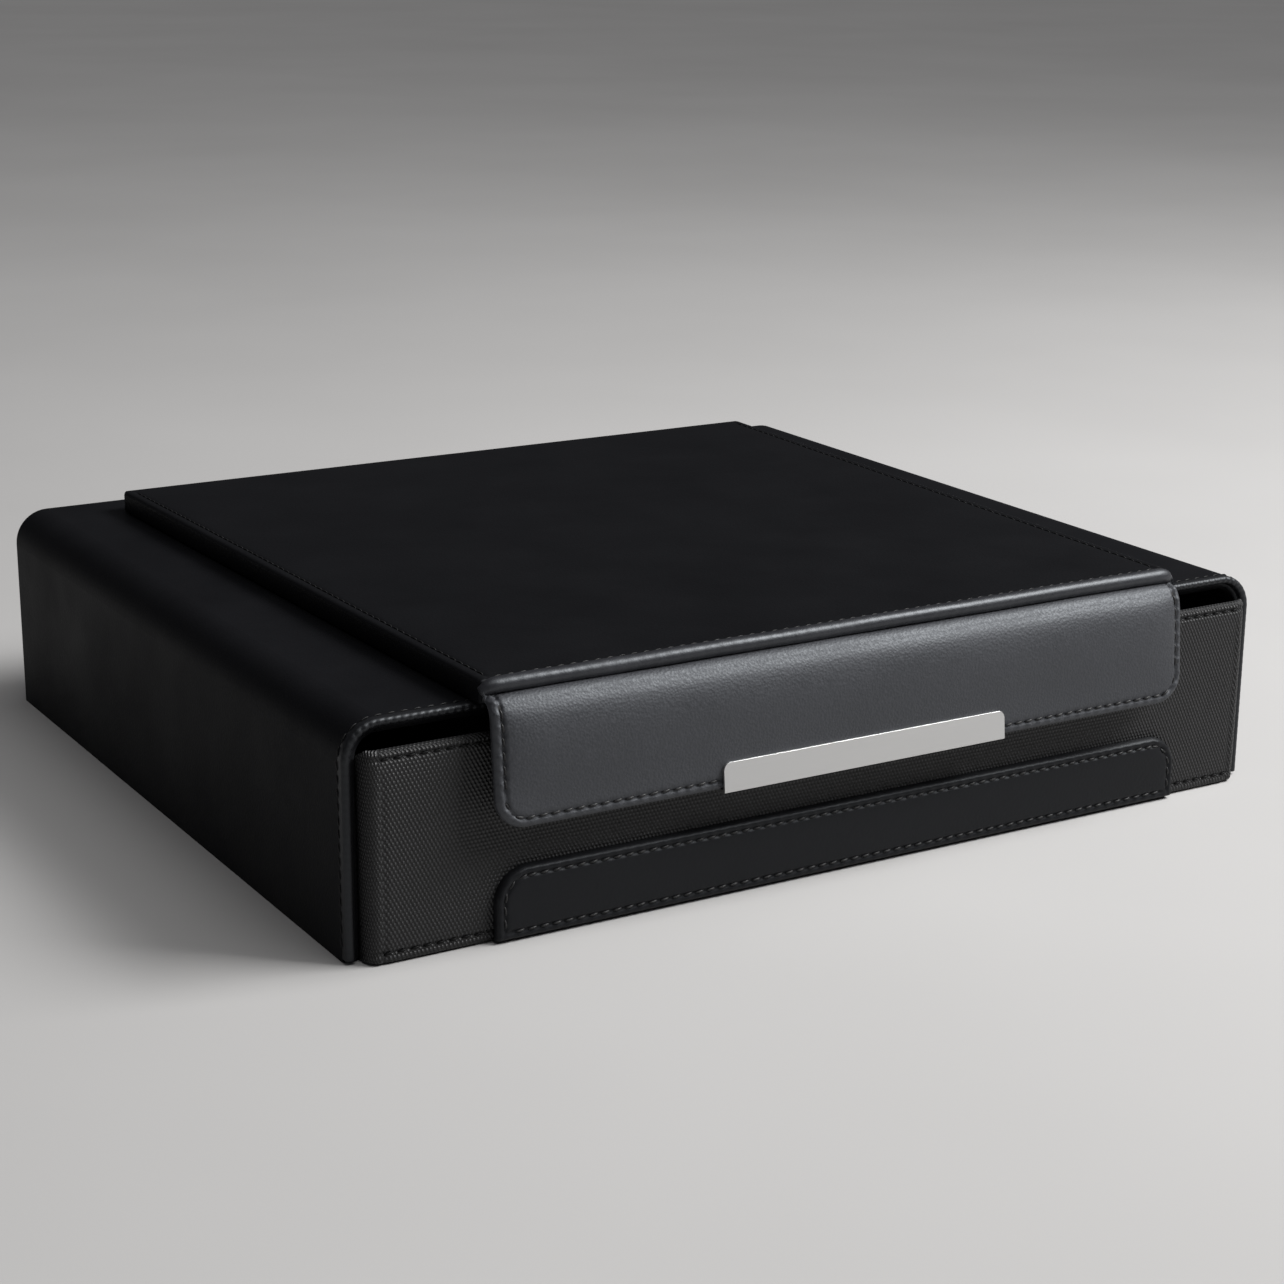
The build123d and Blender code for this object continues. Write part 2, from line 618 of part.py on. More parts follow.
def all_pieces():
    return {
        "base_sheet": base_sheet(),
        "case_cover": case_cover(),
        "front_binding": front_binding(),
        "lid_hinge_tape": hinge_tape(),
        **case_boards(),
        **case_fittings(),
        **tray_shell(),
        **tray_dividers(),
        **cufflink_rolls(),
        **lid_pieces(),
        **flap_pieces(),
        **drawer_pieces(),
    }


def place_all(pieces):
    """Put the origin under the middle of the closed box."""
    boxes = [piece.bounding_box() for piece in pieces.values()]
    front = min(box.min.Y for box in boxes)
    back = max(box.max.Y for box in boxes)
    shift = -(front + back) / 2
    return shift, {name: Pos(0, shift, 0) * piece for name, piece in pieces.items()}


shift, placed = place_all(all_pieces())
os.makedirs("parts", exist_ok=True)
for name, piece in placed.items():
    export_step(piece, f"parts/{name}.step")

flap_y, flap_z = bend_point(FLAP_T / 2, START)
print("case front at y", round(shift, 4))
print("lid hinge", round(HINGE_Y + shift, 4), round(HINGE_Z, 4), "opens", LID_OPENS)
print("flap hinge", round(flap_y + shift, 4), round(flap_z, 4), "opens", FLAP_OPENS)
print("drawer travel", DRAWER_TRAVEL, "per radian", round(DRAWER_TRAVEL / math.radians(LID_OPENS), 4))
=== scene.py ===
import json
import math

import bpy
import numpy as np
from mathutils import Matrix, Vector


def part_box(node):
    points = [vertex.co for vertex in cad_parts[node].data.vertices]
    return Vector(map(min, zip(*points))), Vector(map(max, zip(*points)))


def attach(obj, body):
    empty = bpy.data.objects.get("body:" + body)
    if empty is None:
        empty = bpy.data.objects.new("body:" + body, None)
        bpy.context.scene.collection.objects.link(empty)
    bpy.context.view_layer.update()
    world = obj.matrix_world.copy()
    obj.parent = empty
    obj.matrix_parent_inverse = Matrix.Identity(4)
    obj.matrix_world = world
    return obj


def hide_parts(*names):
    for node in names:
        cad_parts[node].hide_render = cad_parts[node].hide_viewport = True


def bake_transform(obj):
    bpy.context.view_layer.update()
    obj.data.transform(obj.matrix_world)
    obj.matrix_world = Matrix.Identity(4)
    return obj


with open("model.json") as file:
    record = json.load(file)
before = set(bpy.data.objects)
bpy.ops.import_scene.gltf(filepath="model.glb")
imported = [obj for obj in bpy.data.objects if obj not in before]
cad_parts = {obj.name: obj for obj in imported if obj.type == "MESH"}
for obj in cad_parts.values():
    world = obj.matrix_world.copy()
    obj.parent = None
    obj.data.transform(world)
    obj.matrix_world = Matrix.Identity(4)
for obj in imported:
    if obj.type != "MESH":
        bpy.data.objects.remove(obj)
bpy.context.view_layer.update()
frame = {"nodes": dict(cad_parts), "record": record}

MM = 0.001

# ---------------------------------------------------------------- places, in millimetres


def corners(node):
    """A CAD node's lowest and highest corners, in millimetres."""
    low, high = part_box(node)
    return np.array(low) / MM, np.array(high) / MM


CASE_HALF, _, CASE_TOP = corners("case_cover")[1]
BINDING_LOW, BINDING_HIGH = corners("front_binding")
CASE_FRONT = BINDING_LOW[1]
BASE_TOP = corners("base_sheet")[1][2]
TOP_ROUND = 10.0  # radius of the case's long top edges
WALL = 3.8  # skin and board of the case together

PIPE_LOW, PIPE_HIGH = corners("lid_piping")
PIPE_R = (PIPE_HIGH[2] - PIPE_LOW[2]) / 2

LID_LOW, LID_HIGH = corners("lid_cover")
LID_HALF_BACK = LID_HIGH[0]
LID_HALF_FRONT = PIPE_HIGH[0]
LID_FRONT = LID_LOW[1]
LID_LENGTH = LID_HIGH[1] - LID_FRONT
LID_T = LID_HIGH[2] - LID_LOW[2]

FLAP_LOW, FLAP_HIGH = corners("flap_cover")
FLAP_HALF = FLAP_HIGH[0]
FLAP_T = 3.0  # thickness
FLAP_BEND = 7.0  # outside radius of the bend under the piping
FLAP_LEAN = math.radians(5.0)  # outwards as it hangs
FLAP_START = math.radians(34.0)  # turn of the bend at the flap's root
FLAP_CORNER = 8.0  # radius of the lower corners
FLAP_ROOT_CORNER = 0.5
FLAP_TOP = LID_HIGH[2] - 1.9  # top of the bend, were it carried all the way round

BAR_HALF = corners("flap_bar")[1][0]
BAR_T = 0.8  # thickness of the folded metal
BAR_H = 7.8  # face plate with its fold
BAR_BACK_H = 5.0  # leg behind the flap
BAR_CORNER = 2.0  # radius of the face plate's upper corners

FRONT_LOW, FRONT_HIGH = corners("drawer_front_cover")
FRONT_HALF = FRONT_HIGH[0]
FRONT_SIDE_ROLL = 3.6  # width of the rounded sides
FRONT_SIDE_DROP = 4.3  # how far they fall back
FRONT_TOP_ROLL = 1.8  # how far the top edge falls back
FRONT_TOP_FALL = 2.5  # how much lower the back of the drawer front is than its face
FRONT_CORNER = 1.4  # radius of the upper corners
CLOTH_OUT = 0.6  # cloth wraps this far beyond the board's edges

PATCH_LOW, PATCH_HIGH = corners("drawer_front_patch")
PATCH_HALF = PATCH_HIGH[0]
PATCH_LENGTH = PATCH_HIGH[2] - PATCH_LOW[2]
PATCH_T = PATCH_HIGH[1] - PATCH_LOW[1]
PATCH_CORNER = 9.0  # radius of the upper corners
PATCH_FOOT_CORNER = 0.6

STITCH_PITCH = 3.4
SEAM_IN = 2.5  # seam in from an edge

# ---------------------------------------------------------------- mesh helpers


def add_mesh(name, points, faces, material, body, smooth=True):
    """A mesh object from points in millimetres, riding on a body where one is named."""
    mesh = bpy.data.meshes.new(name)
    mesh.from_pydata([tuple(p) for p in np.asarray(points) * MM], [], [tuple(f) for f in faces])
    mesh.validate()
    mesh.materials.append(material)
    mesh.polygons.foreach_set("use_smooth", [smooth] * len(mesh.polygons))
    obj = bpy.data.objects.new(name, mesh)
    bpy.context.scene.collection.objects.link(obj)
    if body:
        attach(obj, body)
    return obj


def grid_faces(rows, cols, start=0, flip=False):
    """Quads of a grid whose points are stored row by row."""
    faces = []
    for r in range(rows - 1):
        for c in range(cols - 1):
            a = start + r * cols + c
            quad = (a, a + 1, a + cols + 1, a + cols)
            faces.append(quad[::-1] if flip else quad)
    return faces


def rim(rows, cols):
    """Indices round the border of a grid, in order."""
    top = list(range(cols))
    right = [r * cols + cols - 1 for r in range(1, rows)]
    bottom = [(rows - 1) * cols + c for c in range(cols - 2, -1, -1)]
    left = [r * cols for r in range(rows - 2, 0, -1)]
    return top + right + bottom + left


def ring_quads(rings, sides, start=0, flip=False):
    """Quads between neighbouring rings of points."""
    faces = []
    for r in range(rings - 1):
        for k in range(sides):
            a = start + r * sides + k
            b = start + r * sides + (k + 1) % sides
            faces.append((a, a + sides, b + sides, b) if flip else (a, b, b + sides, a + sides))
    return faces


def ring_caps(rings, sides, start=0, flip=False):
    """Faces that close the first and the last ring."""
    first = tuple(range(start, start + sides))
    last = tuple(start + (rings - 1) * sides + k for k in range(sides))
    return [first, last[::-1]] if flip else [first[::-1], last]


def closed_panel(name, outer, inner, material, body):
    """A panel with a face and a back, each a grid of points, joined round their borders."""
    rows, cols = outer.shape[:2]
    count = rows * cols
    points = np.concatenate([outer.reshape(-1, 3), inner.reshape(-1, 3)])
    faces = grid_faces(rows, cols) + grid_faces(rows, cols, count, True)
    border = rim(rows, cols)
    for a, b in zip(border, border[1:] + border[:1]):
        faces.append((b, a, a + count, b + count))
    return add_mesh(name, points, faces, material, body)


EDGE_STATIONS = np.array([0, 0.06, 0.2, 0.42, 0.7, 1.05, 1.45, 1.9, 2.3, 2.6, 2.8, 3.0, 3.2, 3.4, 3.7, 4.1,
                          4.7, 5.3, 6.0])  # mm in from an edge, closest where it rolls and where its seam lies
EDGE_REACH = 6.0  # the last of them


def spaced(length, step, edge=EDGE_REACH):
    """Stations along a length: close near both ends, about a step apart between."""
    near = EDGE_STATIONS * edge / EDGE_REACH
    middle = np.linspace(edge, length - edge, max(2, int((length - 2 * edge) / step) + 1))
    return np.concatenate([near, middle[1:-1], (length - near)[::-1]])


def edge_distance(x, s, half, length, r0, r1):
    """How far a point lies inside an outline with rounded corners; s runs from 0 to length."""
    r = np.where(s < length / 2, r0, r1)
    qx = np.abs(x) - (half - r)
    qs = np.abs(s - length / 2) - (length / 2 - r)
    outside = np.hypot(np.maximum(qx, 0), np.maximum(qs, 0))
    inside = np.minimum(np.maximum(qx, qs), 0)
    return r - outside - inside


def corner_cut(s, length, r0, r1):
    """How much narrower the outline is at s because of its rounded corners."""
    first = np.clip(r0 - s, 0, r0)
    last = np.clip(r1 - (length - s), 0, r1)
    first_cut = r0 - np.sqrt(np.maximum(r0**2 - first**2, 0))
    return first_cut + (r1 - np.sqrt(np.maximum(r1**2 - last**2, 0)))


def rolled(d, r):
    """Height of a rolled edge, from 0 at the edge to 1 at r inside it."""
    t = np.clip(d / r, 0, 1)
    return np.sqrt(np.maximum(1 - (1 - t) ** 2, 0))


def bell(distance, width):
    """A smooth swelling, 1 at no distance and nearly 0 at twice the width."""
    return np.exp(-((distance / width) ** 2))


GROOVE_BETWEEN = 0.45  # share of a seam's depth between its holes


def seam_dip(d, along, depth, width, at=SEAM_IN):
    """A seam's groove, deepest at the stitch holes, one at each whole pitch."""
    hole = (0.5 + 0.5 * np.cos(2 * math.pi * along / STITCH_PITCH)) ** 2
    return depth * (GROOVE_BETWEEN + (1 - GROOVE_BETWEEN) * hole) * bell(d - at, width)


PUCKER_OUT = 1.125  # crest of a pucker, from its seam towards the edge
PUCKER_WIDTH = 0.75


def pucker(d, along, height, at=SEAM_IN):
    """Leather drawn up beside a seam, in the middle of each stitch."""
    beat = (0.5 - 0.5 * np.cos(2 * math.pi * along / STITCH_PITCH)) ** 2
    return height * beat * bell(d - at + PUCKER_OUT, PUCKER_WIDTH)


def between_holes(low, high):
    """Middles of the stitches between two places along a seam."""
    first = math.ceil(low / STITCH_PITCH)
    last = math.floor(high / STITCH_PITCH)
    return [(k + 0.5) * STITCH_PITCH for k in range(first, last)]


WAVES = 6
WAVE_SIZES = (0.7, 1.8)  # shortest and longest, as shares of the size asked for
WAVE_SHIFT = 6.28  # random shift, up to a full turn


def wave(x, y, size, seed):
    """Slow unevenness between -1 and 1: the mean of a few sine waves."""
    rng = np.random.RandomState(seed)
    total = np.zeros_like(np.asarray(x, dtype=float) + np.asarray(y, dtype=float))
    for _ in range(WAVES):
        angle = rng.uniform(0, math.pi)
        k = 2 * math.pi / (size * rng.uniform(*WAVE_SIZES))
        total += np.sin(k * (math.cos(angle) * x + math.sin(angle) * y) + rng.uniform(0, WAVE_SHIFT))
    return total / WAVES


def tube(name, path, radii, material, body, sides):
    """A round closed tube along points, with rounded ends given by its radii."""
    path = np.asarray(path, dtype=float)
    tangent = np.gradient(path, axis=0)
    tangent /= np.linalg.norm(tangent, axis=1)[:, None]
    up = np.array([0.0, 0.3, 1.0])  # along no part of the path
    points = []
    for p, t, r in zip(path, tangent, radii):
        side = np.cross(t, up)
        side /= np.linalg.norm(side)
        top = np.cross(side, t)
        for k in range(sides):
            a = 2 * math.pi * k / sides
            points.append(p + r * (math.cos(a) * side + math.sin(a) * top))
    faces = ring_quads(len(path), sides) + ring_caps(len(path), sides)
    return add_mesh(name, points, faces, material, body)


STITCH_RINGS, STITCH_SIDES = 7, 8
STITCH_SLANT = 0.14  # radians off the seam's line
STITCH_END = 0.05  # squared share of the radius that is left at a stitch's ends
STITCH_RISE = 0.95  # how far a stitch stands up in its middle, in radii


def sew(name, places, material, body, length=2.7, radius=0.34, sink=0.08):
    """Thread stitches.

    Each place is the middle of one, a point farther along its seam, and the surface's normal.
    """
    points, faces = [], []
    for middle, ahead, normal in places:
        middle = np.asarray(middle, dtype=float)
        n = np.asarray(normal, dtype=float)
        n /= np.linalg.norm(n)
        t = np.asarray(ahead, dtype=float) - middle
        t -= n * np.dot(t, n)
        t /= np.linalg.norm(t)
        t = t * math.cos(STITCH_SLANT) + np.cross(n, t) * math.sin(STITCH_SLANT)
        b = np.cross(n, t)
        base = len(points)
        for j in range(STITCH_RINGS):
            u = -1 + 2 * j / (STITCH_RINGS - 1)
            r = radius * math.sqrt(max(STITCH_END, 1 - abs(u) ** 3))
            centre = middle + t * u * length / 2 + n * (radius * STITCH_RISE * (1 - u**2) - sink)
            for k in range(STITCH_SIDES):
                a = 2 * math.pi * k / STITCH_SIDES
                points.append(centre + r * (math.cos(a) * b + math.sin(a) * n))
        faces += ring_quads(STITCH_RINGS, STITCH_SIDES, base)
        faces += ring_caps(STITCH_RINGS, STITCH_SIDES, base)
    add_mesh(name, points, faces, material, body)


def on_surface(surface, pairs):
    """Places for sew() from pairs of surface coordinates: a stitch's middle and a point farther on."""
    places = []
    for here, ahead in pairs:
        point, normal = surface(*here)
        places.append((point, surface(*ahead)[0], normal))
    return places


AHEAD = 0.3  # mm along a seam from a stitch's middle to the point that gives its direction
TURN_AHEAD = 0.02  # the same round a corner, as a share of the whole turn


def round_corner(cx, cs, radius, start, end, count):
    """Pairs of coordinates for stitches round a corner; angles from +x towards +s."""
    pairs = []
    for k in range(count):
        a = start + (end - start) * (k + 0.5) / count
        b = a + (end - start) * TURN_AHEAD
        pairs.append(((cx + radius * math.cos(a), cs + radius * math.sin(a)),
                      (cx + radius * math.cos(b), cs + radius * math.sin(b))))
    return pairs


# ---------------------------------------------------------------- materials


class Nodes:
    """Short calls for building one material's nodes."""

    def __init__(self, name, colour, roughness, specular=0.5, metallic=0.0):
        self.material = bpy.data.materials.new(name)
        self.material.use_nodes = True
        self.tree = self.material.node_tree
        self.shader = self.tree.nodes["Principled BSDF"]
        self.shader.inputs["Base Color"].default_value = (*colour, 1)
        self.shader.inputs["Roughness"].default_value = roughness
        self.shader.inputs["Specular IOR Level"].default_value = specular
        self.shader.inputs["Metallic"].default_value = metallic
        self.where = self.tree.nodes.new("ShaderNodeTexCoord").outputs["Object"]

    def node(self, kind, **settings):
        made = self.tree.nodes.new(kind)
        for key, value in settings.items():
            setattr(made, key, value)
        return made

    def link(self, a, b):
        self.tree.links.new(a, b)

    def noise(self, scale, detail, roughness=0.55, stretch=None):
        """Noise; scale in waves to the metre, stretch as a factor of it for each axis."""
        made = self.node("ShaderNodeTexNoise")
        made.inputs["Scale"].default_value = scale
        made.inputs["Detail"].default_value = detail
        made.inputs["Roughness"].default_value = roughness
        self.link(self.stretched(stretch), made.inputs["Vector"])
        return made.outputs["Fac"]

    def stretched(self, stretch):
        if stretch is None:
            return self.where
        mapping = self.node("ShaderNodeMapping")
        mapping.inputs["Scale"].default_value = stretch
        self.link(self.where, mapping.inputs["Vector"])
        return mapping.outputs["Vector"]

    def cells(self, scale, smooth):
        """Rounded cells, scale to the metre."""
        made = self.node("ShaderNodeTexVoronoi", feature="SMOOTH_F1")
        made.inputs["Scale"].default_value = scale
        made.inputs["Smoothness"].default_value = smooth
        self.link(self.where, made.inputs["Vector"])
        return made.outputs["Distance"]

    def math(self, operation, a, b=None, c=None):
        """A Math node; each operand is a number or a socket."""
        made = self.node("ShaderNodeMath", operation=operation)
        for socket, value in zip(made.inputs, (a, b, c)):
            if value is None:
                continue
            if isinstance(value, (int, float)):
                socket.default_value = value
            else:
                self.link(value, socket)
        return made.outputs[0]

    def spread(self, value, low, high, to_low, to_high):
        """The value's range from low to high, spread over another."""
        made = self.node("ShaderNodeMapRange")
        for key, number in (("From Min", low), ("From Max", high), ("To Min", to_low), ("To Max", to_high)):
            made.inputs[key].default_value = number
        self.link(value, made.inputs["Value"])
        return made.outputs["Result"]

    def colours(self, value, *stops):
        """Base colour from a ramp of stops, each (place, colour)."""
        ramp = self.node("ShaderNodeValToRGB")
        while len(ramp.color_ramp.elements) < len(stops):
            ramp.color_ramp.elements.new(0.5)
        for element, (place, colour) in zip(ramp.color_ramp.elements, stops):
            element.position = place
            element.color = (*colour, 1)
        self.link(value, ramp.inputs["Fac"])
        self.link(ramp.outputs["Color"], self.shader.inputs["Base Color"])

    def bump(self, *layers):
        """Stack bump layers, each (height, strength, distance in mm)."""
        last = None
        for height, strength, distance in layers:
            made = self.node("ShaderNodeBump")
            made.inputs["Strength"].default_value = strength
            made.inputs["Distance"].default_value = distance * MM
            self.link(height, made.inputs["Height"])
            if last is not None:
                self.link(last, made.inputs["Normal"])
            last = made.outputs["Normal"]
        self.link(last, self.shader.inputs["Normal"])


def tinted(tone, share, tint):
    """A colour: a share of a grey tone, tinted."""
    return tuple(tone * share * t for t in tint)


SLOW_MOTTLE, FINE_MOTTLE = 34, 1500  # waves to the metre
SWELLS, PORES = 140, 2600
COOL_GLINT = (0.9, 0.95, 1.0, 1)


def leather(name, tone, rough, grain, depth, specular=0.5, speckle=0.5):
    """Black leather: pebbled grain, fine pores, slow changes of gloss.

    Grain is in pebbles to the metre and depth in mm; speckle is the fine mottling's strength.
    """
    m = Nodes(name, (tone, tone, tone * 1.15), rough, specular)
    patches = m.math("MULTIPLY_ADD", m.noise(FINE_MOTTLE, 2, 0.6), speckle, m.noise(SLOW_MOTTLE, 4))
    patches = m.math("SUBTRACT", patches, speckle / 2)
    pebbles = m.cells(grain, 0.35)
    m.colours(patches, (0.25, (tone * 0.8, tone * 0.81, tone * 0.95)),
              (0.75, (tone * 1.25, tone * 1.26, tone * 1.45)))
    m.link(m.spread(patches, 0.3, 0.7, rough - 0.04, rough + 0.06), m.shader.inputs["Roughness"])
    m.shader.inputs["Specular Tint"].default_value = COOL_GLINT
    m.bump((m.noise(SWELLS, 2), 0.06, 0.12), (pebbles, 0.6, depth), (m.noise(PORES, 2), 0.4, depth * 0.6))
    return m.material


WARP = 1.053  # mm from one upright thread to the next that shows in the same row
WEFT = 2.02  # mm up to the next row that repeats it
LEAN, COUNTER_LEAN, ROWS = 0.26, 0.11, 0.13  # shares of the three patterns in a thread's height


def weave(name, tone):
    """Close weave of staggered ovals that lean into slanting lines, carried round the sides and top; its colour
    paints shade between the threads and a highlight on their crowns.
    """
    m = Nodes(name, (tone, tone, tone * 1.07), 0.5, 0.45)
    split = m.node("ShaderNodeSeparateXYZ")
    m.link(m.where, split.inputs[0])
    back = m.math("SUBTRACT", split.outputs["Y"], FRONT_LOW[1] * MM)
    side_starts = (FRONT_HALF + CLOTH_OUT - FRONT_SIDE_ROLL) * MM
    at_side = m.math("GREATER_THAN", m.math("ABSOLUTE", split.outputs["X"]), side_starts)
    round_side = m.math("MULTIPLY", m.math("MULTIPLY", back, at_side), m.math("SIGN", split.outputs["X"]))
    over_top = m.math("MULTIPLY", back, m.math("SUBTRACT", 1.0, at_side))
    cloth_x = m.math("ADD", split.outputs["X"], round_side)
    cloth_z = m.math("ADD", split.outputs["Z"], over_top)
    across = m.math("MULTIPLY", cloth_x, 2 * math.pi / (WARP * MM))
    up = m.math("MULTIPLY", cloth_z, 2 * math.pi / (WEFT * MM))
    lean = m.math("COSINE", m.math("ADD", across, up))
    counter = m.math("COSINE", m.math("SUBTRACT", up, across))
    rows = m.math("COSINE", m.math("MULTIPLY", up, 2.0))
    height = m.math("MULTIPLY_ADD", lean, LEAN, 0.5)
    height = m.math("MULTIPLY_ADD", counter, COUNTER_LEAN, height)
    height = m.math("MULTIPLY_ADD", rows, ROWS, height)
    worn = m.spread(m.noise(45, 4), 0.3, 0.7, -0.05, 0.05)
    # painted shade and highlight: the colour follows the threads' height, near black between them and bright on
    # their crowns
    m.colours(m.math("ADD", height, worn),
              (0.26, (tone * 0.03, tone * 0.03, tone * 0.035)),  # painted shade between the threads
              (0.5, (tone * 0.7, tone * 0.71, tone * 0.77)),
              (0.84, (tone * 3.8, tone * 3.85, tone * 4.1)))  # painted highlight on the crowns of the threads
    m.link(m.spread(height, 0.1, 0.9, 0.7, 0.36), m.shader.inputs["Roughness"])
    m.bump((height, 1.0, 0.36), (m.noise(4200, 2), 0.25, 0.03))
    return m.material


def suede(name, tone, tint=(1, 1, 1.05), scale=1500.0):
    """Short-napped microfibre or felt."""
    m = Nodes(name, tinted(tone, 1, tint), 0.92, 0.2)
    nap = m.noise(110, 5, 0.6)
    m.colours(nap, (0.3, tinted(tone, 0.88, tint)), (0.7, tinted(tone, 1.13, tint)))
    m.bump((m.noise(220, 3), 0.35, 0.15), (m.noise(scale, 3, 0.7), 0.7, 0.12))
    m.shader.inputs["Sheen Weight"].default_value = 0.35
    m.shader.inputs["Sheen Roughness"].default_value = 0.4
    m.shader.inputs["Sheen Tint"].default_value = (0.8, 0.8, 0.85, 1)
    return m.material


def pressed_board(name):
    """Dark grey pressed board, seen only at its cut edges."""
    m = Nodes(name, (0.03, 0.029, 0.028), 0.85, 0.25)
    fibres = m.noise(500, 5, 0.65, (1, 1, 5))
    m.colours(fibres, (0.3, (0.019, 0.0185, 0.018)), (0.7, (0.042, 0.041, 0.0395)))
    m.bump((fibres, 0.4, 0.1))
    return m.material


BRUSH = (1, 60, 60)  # the brushing's noise is this much finer across the lines than along them


def satin_metal(name, colour, rough):
    """Brushed metal with fine lines along X."""
    m = Nodes(name, colour, rough, 0.5, 1.0)
    lines = m.noise(90, 4, 0.6, BRUSH)
    m.link(m.spread(lines, 0.3, 0.7, rough - 0.05, rough + 0.07), m.shader.inputs["Roughness"])
    m.bump((lines, 0.12, 0.02), (m.noise(25, 2), 0.05, 0.1))
    return m.material


def thread(name, tone, specular):
    """Waxed sewing thread with its twist."""
    m = Nodes(name, (tone, tone, tone * 1.05), 0.45, specular)
    twist = m.noise(2500, 2, 0.5, (1, 1.6, 1))
    m.colours(twist, (0.3, (tone * 0.5, tone * 0.5, tone * 0.52)),
              (0.7, (tone * 1.7, tone * 1.7, tone * 1.75)))
    m.bump((twist, 0.6, 0.08))
    return m.material


FLAP_LEATHER = leather("flap_leather", 0.0225, 0.57, 1400.0, 0.12, 0.75, 2.4)
LID_LEATHER = leather("lid_leather", 0.0045, 0.5, 1350.0, 0.07, 0.1)
PATCH_LEATHER = leather("patch_leather", 0.006, 0.5, 1100.0, 0.05, 0.22)
PIPING_LEATHER = leather("piping_leather", 0.018, 0.42, 1500.0, 0.04)
RIM_LEATHER = leather("rim_leather", 0.0056, 0.45, 1500.0, 0.04, 0.4)
LEATHERETTE = leather("case_leatherette", 0.0055, 0.55, 1500.0, 0.04, 0.08)
NYLON = weave("drawer_nylon", 0.0064)
SUEDE = suede("lining_suede", 0.035)
CUSHION = suede("cushion_suede", 0.05, (1, 1, 1.06), 1100.0)
TAPE = suede("hinge_tape_cloth", 0.02)
BOARD = pressed_board("pressed_board")
BAR_METAL = satin_metal("bar_satin_nickel", (0.66, 0.66, 0.655), 0.34)
PLATE_METAL = satin_metal("plate_steel", (0.4, 0.4, 0.4), 0.35)
# One black thread in three tones, set by how the light falls on each seam: this darkest one is painted shade,
# for the drawer front's seams.
PAINTED_SHADE_THREAD = thread("painted_shade_thread", 0.004, 0.1)
MID_THREAD = thread("black_thread", 0.008, 0.2)
# This palest one is a painted highlight, for the flap's and the patch's seams.
PAINTED_HIGHLIGHT_THREAD = thread("painted_highlight_thread", 0.016, 0.3)

NODE_MATERIALS = {
    "leather": FLAP_LEATHER,
    "leatherette": LEATHERETTE,
    "base_sheet": LEATHERETTE,
    "nylon_weave": NYLON,
    "felt": SUEDE,
    "cushion": CUSHION,
    "tape": TAPE,
    "board": BOARD,
    "bar_metal": BAR_METAL,
    "magnet": PLATE_METAL,
    "plate_steel": PLATE_METAL,
}


def dress_nodes():
    """Every CAD node gets the material of its slot."""
    for entry in frame["record"]["subparts"]:
        obj = frame["nodes"][entry["node"]]
        obj.data.materials.clear()
        obj.data.materials.append(NODE_MATERIALS[entry["material_slot"]])


# ---------------------------------------------------------------- lid


LID_CORNER_FRONT, LID_CORNER_BACK = 1.2, 4.0  # radii
LID_SEAM_IN = 3.0
LID_FRONT_SEAM = 1.1
LID_SEAM_STOP = 4.0  # side seams stop this short of the turned-over back edge
LID_EDGE_FALL, LID_EDGE_ROLL = 1.3, 1.1  # height and width of the rolled edges
LID_SKIRT = 0.22  # how far the skin is drawn down outside its seam
LID_SWELL = 0.10
LID_AHEAD = 0.5  # mm from a stitch's middle to the point that gives its direction
LINING_STEP, LINING_IN = 0.65, 3.0  # the pad's underside steps up inside its edge for the lining


def lid_half(y):
    """Half the lid's width at y; the lid widens to the back."""
    t = (y - LID_FRONT) / LID_LENGTH
    return LID_HALF_FRONT + t * (LID_HALF_BACK - LID_HALF_FRONT)


def lid_back_round(back):
    """Height of the lid's back edge, half round about its hinge so that it turns clear of the case."""
    return LID_T / 2 * (1.02 + 0.98 * rolled(back, LID_T / 2))


def lid_edge(x, s, half):
    """How far inside the lid's outline a point lies."""
    return edge_distance(x, s, half, LID_LENGTH, LID_CORNER_FRONT, LID_CORNER_BACK)


def lid_surface(x, s, half):
    """Height of the lid's leather above its underside."""
    d = lid_edge(x, s, half)
    side = half - np.abs(x)
    back = LID_LENGTH - s
    top = np.minimum(LID_T - LID_EDGE_FALL * (1 - rolled(d, LID_EDGE_ROLL)), lid_back_round(back))
    top = top - LID_SKIRT * (1 - rolled(np.clip(d - LID_SEAM_IN, 0, None), 7.0))
    sewn = rolled(np.clip(back - LID_SEAM_STOP, 0, None), 3.0)
    side_seam = seam_dip(side, s, 0.3, 0.6, LID_SEAM_IN) - pucker(side, s, 0.12, LID_SEAM_IN)
    top = top - side_seam * sewn - seam_dip(s, x, 0.4, 0.4, LID_FRONT_SEAM)
    return top + LID_SWELL * wave(x, s, 60, 3) * rolled(d, 12.0)


def lid_pad():
    s = spaced(LID_LENGTH, 0.85)
    u = (spaced(2 * LID_HALF_FRONT, 0.85) - LID_HALF_FRONT) / LID_HALF_FRONT
    half = lid_half(LID_FRONT + s)[:, None]
    cut = corner_cut(s, LID_LENGTH, LID_CORNER_FRONT, LID_CORNER_BACK)[:, None]
    x = u[None, :] * (half - cut)
    s = np.repeat(s[:, None], len(u), axis=1)
    top = lid_surface(x, s, half)
    d = lid_edge(x, s, half)
    under = np.maximum(0.5 * (1 - rolled(d, 0.5)), LID_T - lid_back_round(LID_LENGTH - s))
    under = under + LINING_STEP * rolled(d - LINING_IN, 0.3)
    y = LID_FRONT + s
    outer = np.stack([x, y, LID_LOW[2] + top], axis=2)
    inner = np.stack([x, y, LID_LOW[2] + under], axis=2)
    pad = closed_panel("lid_leather_pad", outer, inner, LID_LEATHER, "lid")
    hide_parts("lid_cover")


def lid_point(x, s):
    """Point on the lid's leather and its normal; s back from the front edge."""
    half = lid_half(LID_FRONT + s)
    z = lid_surface(np.array([x]), np.array([float(s)]), half)[0]
    return (x, LID_FRONT + s, LID_LOW[2] + z), (0, 0, 1)


